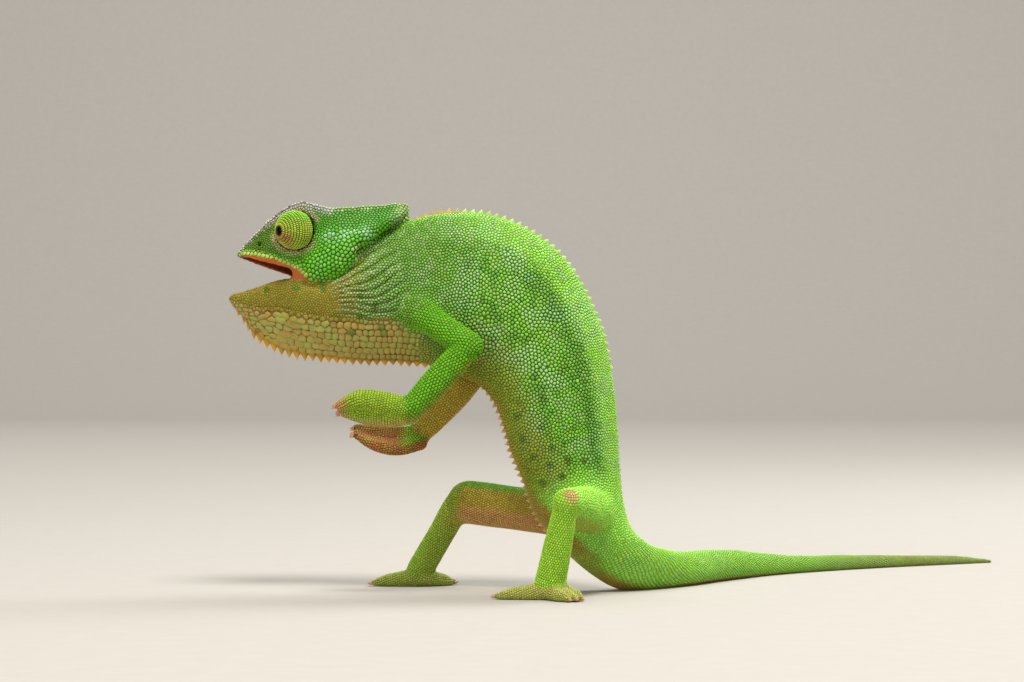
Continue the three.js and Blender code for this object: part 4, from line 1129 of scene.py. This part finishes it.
crown, roots["ground"] = paintAt(roots["point"], roots["lie"], form, along, roots["angle"])
uneven = np.where(kind == kinds["throat"], 0.04, 0.1)[:, None]
shade = rng.normal(1.0, uneven, (len(kind), 1)) * rng.normal(1.0, 0.03, (len(kind), 3))
roots["crown"] = np.clip(crown * shade, 0, 1)
# The painted highlight on each scale's top, a pale bluish sky reflection, at a random strength.
roots["apex"] = apexShare(roots["point"], form, along, roots["angle"]) * rng.uniform(0.3, 1.0, len(kind))
dotted = (kind == kinds["bead"]) & (rng.random(len(kind)) < 0.22) & (along < 0.55)
roots["crown"][dotted] = colour(marks["browDark"][0])


# Eyes. The turret is r(a) = radius + swell * exp(-(a / 26 degrees)^2) round the line of sight,
# with the lids' thick edge where the opening turns in.
turret = {"radius": 4.4, "swell": 0.26, "lid": 0.12, "rowGap": 0.68, "granule": 0.48}
turretMarks = {"lime": ("#a9bf3c", "#42500f"), "upper": ("#8cc42c", "#37590e"),
               "orange": ("#b28a48", "#604216"), "rim": ("#b08c5a", "#5a4020")}
lidsOpen = eye["opening"] / (turret["radius"] + turret["swell"])


def gazeFrame(mirror):  # middle of the turret, line of sight, side and up across it, middle of the ball
    yaw, pitch = math.radians(eye["forward"]), math.radians(eye["down"])
    gaze = unit(np.array([-math.sin(yaw), mirror * math.cos(yaw), -math.sin(pitch)]))
    centre = np.array([eye["x"], mirror * eye["out"], eye["z"]])
    ball, centre = rolled(centre + gaze * eye["ballOut"]), rolled(centre)
    gaze = unit(ball - centre)
    side = unit(np.cross(gaze, (0, 0, 1)))
    return centre, gaze, side, np.cross(side, gaze), ball


def turretPoint(mirror, away, angle):
    centre, gaze, side, up, _ = gazeFrame(mirror)
    r = turret["radius"] + turret["swell"] * hill(away, 0, 0.45)
    r = r + turret["lid"] * hill(away, lidsOpen + 0.05, 0.05)
    out = around(away, gaze, around(angle, side, up))
    return centre + out * r[..., None], out


def paintTurret(mirror, places):
    centre, gaze, _, _, _ = gazeFrame(mirror)
    out = unit(places - centre)
    below = smooth(0.05, -0.35, out[:, 2]) * smooth(0.1, -0.3, out[:, 0])
    colours = plainColours(turretMarks["lime"], len(places))
    for name, amount in (("upper", smooth(0.25, 0.7, out[:, 2])),
                         ("orange", below * smooth(0.2, 0.5, blotches(places, 1.3, 3.0) + 0.1)),
                         ("rim", smooth(0.33, 0.26, np.arccos(np.clip(out @ gaze, -1, 1))))):
        cover(colours, turretMarks[name], amount)
    return colours


def closedMesh(name, grids):
    made = makeMesh(name, *ringMesh(grids))
    faceOutwards(made)
    return made


def turretPiece(name, mirror):
    away = np.concatenate([[lidsOpen] * 3, np.linspace(lidsOpen, lidsOpen + 0.14, 8)[1:],
                           np.linspace(lidsOpen + 0.14, 3.1, 90)[1:]])
    away, angle = np.broadcast_arrays(away[:, None], np.linspace(0, 2 * np.pi, 96, endpoint=False))
    grid, out = turretPoint(mirror, away, angle)
    grid[:3] = grid[:3] - out[:3] * np.array([0.9, 0.45, 0.1])[:, None, None]
    made = closedMesh(name, [grid])
    crown, ground = paintTurret(mirror, ringMesh([grid])[0])
    addAttributes(made, paint=crown, ground=ground, lift=np.zeros(len(crown)))
    return made


def turretScales(name, mirror):
    rows = np.arange(0.36, 2.1, turret["rowGap"] / turret["radius"])
    held = np.round(2 * np.pi * turret["radius"] * np.sin(rows) / turret["granule"]).astype(int)
    place, out = turretPoint(mirror, np.repeat(rows, held), ringAngles(held))
    along, angle = 0.3 + 0.02 * (place[:, 0] - eye["x"]), 4.7 + 0.1 * (place[:, 2] - eye["z"])
    roots = rootRows("skull", place, along, angle, 0.62, 1.25, "ring")
    roots["lie"], roots["way"] = out, np.cross(unit(np.cross(gazeFrame(mirror)[1], out)), out)
    roots["reach"] = scaleReach(roots)
    roots["height"], roots["apex"] = np.full(len(place), 0.2), np.zeros(len(place))
    crown, roots["ground"] = paintTurret(mirror, place)
    roots["crown"] = np.clip(crown * rng.normal(1.0, 0.1, (len(place), 1)), 0, 1)
    return scaleMesh(name, roots)


def eyeballPiece(name, mirror):
    _, gaze, side, up, ball = gazeFrame(mirror)
    away = np.linspace(0.03, np.pi - 0.03, 48)[:, None]
    spoke = around(np.linspace(0, 2 * np.pi, 48, endpoint=False), side, up)
    made = closedMesh(name, [ball + around(away, gaze, spoke) * eye["ballRadius"]])
    ring = np.append(np.repeat(away[:, 0], 48), [0, np.pi])
    addAttributes(made, iris=smooth(0.84, 0.9, ring) * smooth(1.3, 1.1, ring))
    return made


# Crests: a row of thorns, foot * (1 - share) wide along the row and 0.55 of that across.
crests = {
    "throat_crest": {"line": "belly", "start": 1.6, "end": 9.0, "pitch": 1.9, "tall": 2.2, "tallEnd": 1.2,
                     "foot": 1.12, "lean": 0.12, "ochre": 0, "colours": ("#e0ab2c", "#b5861e")},
    "belly_crest": {"line": "belly", "start": 11.0, "end": 17.0, "pitch": 1.6, "tall": 1.3, "tallEnd": 1.1,
                    "foot": 0.75, "lean": 0.05, "ochre": 0, "colours": ("#dcb890", "#b08a44")},
    "back_crest": {"line": "back", "start": 8.2, "end": 13.0, "pitch": 1.9, "tall": 1.45, "tallEnd": 0.85,
                   "foot": 1.0, "lean": 0.2, "ochre": 1, "colours": ("#bfdc7c", "#86bb3c")},
    "rump_crest": {"line": "back", "start": 13.05, "end": 17.2, "pitch": 1.35, "tall": 0.5, "tallEnd": 0.3,
                   "foot": 0.5, "lean": 0.3, "ochre": 0, "colours": ("#b8d27c", "#8ab84a")},
}


def crestPiece(name, crest):
    fine = np.linspace(crest["start"], crest["end"], 3000)
    line = spineAt(crest["line"], fine)
    other = spineAt("belly" if crest["line"] == "back" else "back", fine)
    lengths = lengthsAlong(line)
    steps = np.arange(0, lengths[-1], crest["pitch"])
    pick = np.searchsorted(lengths, steps)
    out = unit(line[pick] - other[pick])
    row = unit(line[np.minimum(pick + 8, 2999)] - line[np.maximum(pick - 8, 0)])
    share = np.arange(len(pick)) / (len(pick) - 1)
    tall = toward(crest["tall"], crest["tallEnd"], share) * np.minimum(1, 0.5 + 4 * share)
    tall = tall * rng.uniform(0.9, 1.08, len(pick))
    foot = crest["foot"] * np.minimum(1, 0.6 + 3 * share)
    levels, sides = np.array([-0.35, 0.0, 0.3, 0.6, 0.85]), 10
    rise = np.maximum(levels, 0)
    centre = (line[pick] - out * coatDepth)[:, None] + out[:, None] * (tall[:, None] * levels)[..., None]
    centre = centre + row[:, None] * (crest["lean"] * tall[:, None] * rise ** 1.5)[..., None]
    spoke = around(np.arange(sides) / sides * 2 * np.pi, row[:, None], 0.55 * np.cross(row, out)[:, None])
    grid = centre[:, :, None] + spoke[:, None] * (foot[:, None] * (1 - rise))[..., None, None]
    tip = line[pick] + out * (tall - coatDepth)[:, None] + row * (crest["lean"] * tall)[:, None]
    verts = np.concatenate([grid.reshape(len(pick), -1, 3), tip[:, None]], 1)
    each = verts.shape[1]
    made = makeMesh(name, verts.reshape(-1, 3), stackFaces(len(pick), len(levels), sides))
    faceOutwards(made)
    top, base = (colour(code) for code in crest["colours"])
    lift = np.tile(np.append(np.repeat(rise, sides), 1.0), len(pick))
    paint = toward(base, top, lift[:, None])
    early, bright = smooth(0.22, 0.12, share) * crest["ochre"], rng.uniform(0.85, 1.12, len(pick))
    early, bright = np.repeat(early, each)[:, None], np.repeat(bright, each)[:, None]
    paint = toward(paint, colour("#b8983c"), early) * bright
    addAttributes(made, paint=paint, ground=paint * 0.5, lift=0.3 + 0.7 * lift)
    angle = np.pi if crest["line"] == "back" else 0.06
    bakeMap(made, rootRows("spine", line[pick], np.interp(steps, lengths, fine), angle, 1.0, 1.0, "ring"),
            sides, (1,) * len(levels), 0.0015)
    return made


# Claws: a cone curved downwards, radius * (1 - share^1.6), out of the end of each toe.
claw = {"long": 1.05, "radius": 0.38, "inside": 0.4, "droop": {"hand": 0.28, "foot": 0.06}}


def clawPiece(name):
    grids = []
    share = np.linspace(0, 1, 9)[:, None]
    radius = claw["radius"] * (1 - share ** 1.6) + 0.03
    for toe, line, radii in toes():
        droop = claw["droop"][toe.split("_")[0]]
        along = unit((line[-1] - line[-2]) * (1, 1, 0))
        along = unit(along + (0, 0, -0.5 * droop))
        start = line[-1] + along * (radii[-1] - claw["inside"])
        centre = start + along * claw["long"] * share
        centre = centre - np.array([0, 0, 1]) * droop * claw["long"] * share ** 2
        side = unit(np.cross(along, (0, 0, 1)))
        spoke = around(np.arange(10) / 10 * 2 * np.pi, side, np.cross(side, along))
        grids.append(centre[:, None] + spoke * radius[..., None])
    return closedMesh(name, grids)


# Materials.
def node(tree, kind, links=None, **settings):  # adds a node, its settings, and what feeds its sockets
    made = tree.nodes.new(kind)
    for key, value in settings.items():
        setattr(made, key, value)
    for name, value in (links or {}).items():
        if isinstance(value, bpy.types.NodeSocket):
            tree.links.new(value, made.inputs[name])
        else:
            made.inputs[name].default_value = value
    return made


def newMaterial(name):
    made = bpy.data.materials.new(name)
    made.use_nodes = True
    made.node_tree.nodes.clear()
    return made, made.node_tree


def attribute(tree, name, output="Fac"):
    return node(tree, "ShaderNodeAttribute", attribute_name=name).outputs[output]


def noise(tree, size, detail=2.0):  # mottling about size millimetres across
    place = node(tree, "ShaderNodeTexCoord").outputs["Object"]
    links = {"Vector": place, "Scale": 1 / (size * mm), "Detail": detail}
    return node(tree, "ShaderNodeTexNoise", links).outputs["Fac"]


def ranged(tree, value, low, high, start=0.0, end=1.0, **settings):  # low at start to high at end
    links = {"Value": value, "From Min": start, "From Max": end, "To Min": low, "To Max": high}
    return node(tree, "ShaderNodeMapRange", links, **settings).outputs["Result"]


def mixed(tree, factor, *ends):  # ends are sockets or sRGB codes
    first, second = ((*colour(end), 1) if isinstance(end, str) else end for end in ends)
    links = {"Factor": factor, "A": first, "B": second}
    return node(tree, "ShaderNodeMix", links, data_type="RGBA").outputs[2]


def shaded(tree, links):
    shader = node(tree, "ShaderNodeBsdfPrincipled", links)
    node(tree, "ShaderNodeOutputMaterial", {"Surface": shader.outputs["BSDF"]})


# Keratin scales, grown: a thin hard film over pigment, so a soft broad highlight and a slight sheen
# of light through the thin edges. Mottling is 0.35 mm and 2.5 mm, fine ridges on each scale 0.12 mm.
def scaleMaterial(name, roughness, crownAt, bump):
    made, tree = newMaterial(name)
    lift, fine = attribute(tree, "lift"), noise(tree, 0.35, 3.0)
    share = ranged(tree, lift, 0.0, 1.0, *crownAt, interpolation_type="SMOOTHSTEP")
    base = mixed(tree, share, attribute(tree, "ground", "Color"), attribute(tree, "paint", "Color"))
    # Painted highlight: above 0.76 of its lift each scale's top turns pale bluish, as strongly as its painted
    # highlight value says.
    base = mixed(tree, ranged(tree, lift, 0.0, attribute(tree, "apex"), 0.76), base, "#bed8ce")
    tint = {"Color": base, "Value": ranged(tree, fine, 0.86, 1.14),
            "Hue": ranged(tree, noise(tree, 2.5), 0.485, 0.515)}
    ridges = {"Height": noise(tree, 0.12), "Strength": bump, "Distance": 0.05 * mm}
    shaded(tree, {"Base Color": node(tree, "ShaderNodeHueSaturation", tint).outputs["Color"],
                  "Roughness": ranged(tree, fine, roughness - 0.08, roughness + 0.12),
                  "Normal": node(tree, "ShaderNodeBump", ridges).outputs["Normal"],
                  "IOR": 1.5, "Specular IOR Level": 0.24, "Subsurface Weight": 0.12,
                  "Subsurface Scale": 0.6 * mm, "Subsurface Radius": (1.0, 0.7, 0.3)})
    return made


# Cornea over the eyeball: wet and smooth, a dark pupil within a thin golden-brown iris.
def eyeMaterial():
    made, tree = newMaterial("wet cornea")
    gold = mixed(tree, noise(tree, 0.15), "#6a4414", "#c79a3c")
    base = mixed(tree, attribute(tree, "iris"), "#080504", gold)
    shaded(tree, {"Base Color": base, "Roughness": 0.08, "IOR": 1.34, "Specular IOR Level": 0.14})
    return made


# Claw horn, grown in layers: translucent tan-brown with darker streaks about 0.2 mm apart.
def clawMaterial():
    made, tree = newMaterial("claw horn")
    shaded(tree, {"Base Color": mixed(tree, noise(tree, 0.2, 3.0), "#a8744a", "#cf9c72"), "Roughness": 0.35,
                  "IOR": 1.54, "Subsurface Weight": 0.15, "Subsurface Scale": 0.5 * mm})
    return made


def floorMaterial():  # matt painted studio sweep, faint 6 mm unevenness
    made, tree = newMaterial("matt pale sweep")
    shaded(tree, {"Base Color": mixed(tree, noise(tree, 6, 3.0), "#b2ada6", "#b9b4ad"), "Roughness": 0.85})
    return made


def dress(piece, material, slotName, *nodes):  # nodes are the solids that the piece stands for
    piece.data.materials.append(material)
    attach(piece, "root")
    if nodes:
        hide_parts(*nodes)


hide = scaleMaterial("hide between scales", 0.6, (-0.4, 1.0), 0.6)
keratin = scaleMaterial("keratin scales", 0.45, (0.08, 0.74), 0.35)
thorn = scaleMaterial("keratin thorns", 0.45, (0.0, 0.4), 0.35)
lidHide = scaleMaterial("hide of the lids", 0.5, (0.0, 1.0), 0.5)

neck, tail = onSpine & (along < 9.0), onSpine & (along >= tailStart)
trunk, left = onSpine & ~neck & ~tail, roots["point"][:, 1] < 0
arms, legs = lay.isIn(form, "upper_arm", "forearm", "hand"), lay.isIn(form, "thigh", "shin", "foot")
coatPieces = {"head_scales": onSkull, "neck_scales": neck, "trunk_scales_left": trunk & left,
              "trunk_scales_right": trunk & ~left, "tail_scales": tail & (along < 21.5),
              "tail_end_scales": tail & (along >= 21.5), "arm_scales": arms,
              "leg_scales_left": legs & left, "leg_scales_right": legs & ~left}
for name, kept in coatPieces.items():
    coat = scaleMesh(name, keepRoots(roots, kept))
    dress(coat, keratin, "throat_skin" if name == "neck_scales" else "skin")
    print(name, len(triangleCorners(coat)))

crown, ground = paintAt(skinPoints(skin), skinNormals(skin), *lay.find(skinPoints(skin)))
addAttributes(skin, paint=crown, ground=ground, lift=np.zeros(len(crown)))
dress(skin, hide, "skin", *[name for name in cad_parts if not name.startswith(("eye", "claw"))])
for side, mirror in (("left", -1), ("right", 1)):
    dress(turretPiece(f"turret_{side}", mirror), lidHide, "eye_skin", f"eye_turret_{side}")
    dress(eyeballPiece(f"eyeball_{side}", mirror), eyeMaterial(), "eyeball", f"eye_{side}")
    dress(turretScales(f"turret_scales_{side}", mirror), keratin, "eye_skin")
for name, crest in crests.items():
    dress(crestPiece(name, crest), thorn, "skin" if crest["line"] == "back" else "throat_skin")
clawNodes = [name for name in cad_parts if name.startswith("claw")]
dress(clawPiece("claws"), clawMaterial(), "claw", *clawNodes)
print("pieces dressed")

# Studio: a pale sweep, a broad soft light overhead and to the front, a fill and a grey surround.
sweep = {"width": 6.0, "front": -1.6, "back": 2.2, "bend": 0.9, "rise": 2.4}


def sweepFloor():  # a floor that turns up behind through a quarter circle
    turn = np.linspace(0, np.pi / 2, 24)
    y = [sweep["front"], *(sweep["back"] + sweep["bend"] * np.sin(turn)), sweep["back"] + sweep["bend"]]
    z = [0, *(sweep["bend"] * (1 - np.cos(turn))), sweep["bend"] + sweep["rise"]]
    x = np.array([-0.5, 0.5]) * sweep["width"]
    row = np.arange(len(y) - 1)
    mesh = bpy.data.meshes.new("sweep")
    mesh.from_pydata(np.stack([np.repeat(x, len(y)), np.tile(y, 2), np.tile(z, 2)], -1).tolist(), [],
                     np.stack([row, row + len(y), row + len(y) + 1, row + 1], -1).tolist())
    mesh.shade_smooth()
    made = linked("sweep", mesh)
    made.data.materials.append(floorMaterial())


def softLight(name, place, target, width, power, tint=(1, 1, 1)):
    light = bpy.data.lights.new(name, "AREA")
    light.shape, light.size, light.energy, light.color = "DISK", width, power, tint
    lamp = linked(name, light)
    lamp.location = place
    lamp.rotation_euler = (Vector(target) - lamp.location).to_track_quat("-Z", "Y").to_euler()


sweepFloor()
middle = toFrame(np.array([0.0, 0.0, 50.0]))
softLight("key", (0.05, -0.42, 0.86), middle, 0.3, 7.8, (1.0, 0.97, 0.92))
softLight("fill", (-0.5, -0.9, 0.3), middle, 0.8, 2.9)
softLight("rim", (0.6, 0.35, 0.6), middle, 0.5, 4.5)
softLight("backdrop", (0.0, 1.0, 2.2), (0.0, 2.7, 0.3), 2.2, 48.0)
world = bpy.data.worlds.new("surround")
world.use_nodes = True
world.node_tree.nodes["Background"].inputs["Color"].default_value = (*colour("#d8d6cc"), 1)
world.node_tree.nodes["Background"].inputs["Strength"].default_value = 0.55
bpy.context.scene.world = world
bpy.context.scene.view_settings.view_transform = "Standard"

# Camera level with the belly, a long lens from the left.
view = {"lens": 100, "sensor": 36, "distance": 671.0, "height": 53.0, "up": 0.524}
camera = bpy.data.cameras.new("camera")
camera.lens, camera.sensor_width, camera.clip_start = view["lens"], view["sensor"], 0.01
stand = linked("camera", camera)
stand.location = toFrame(np.array([0.0, -view["distance"], view["height"]]))
stand.rotation_euler = (math.radians(90 + view["up"]), 0, 0)
bpy.context.scene.camera = stand
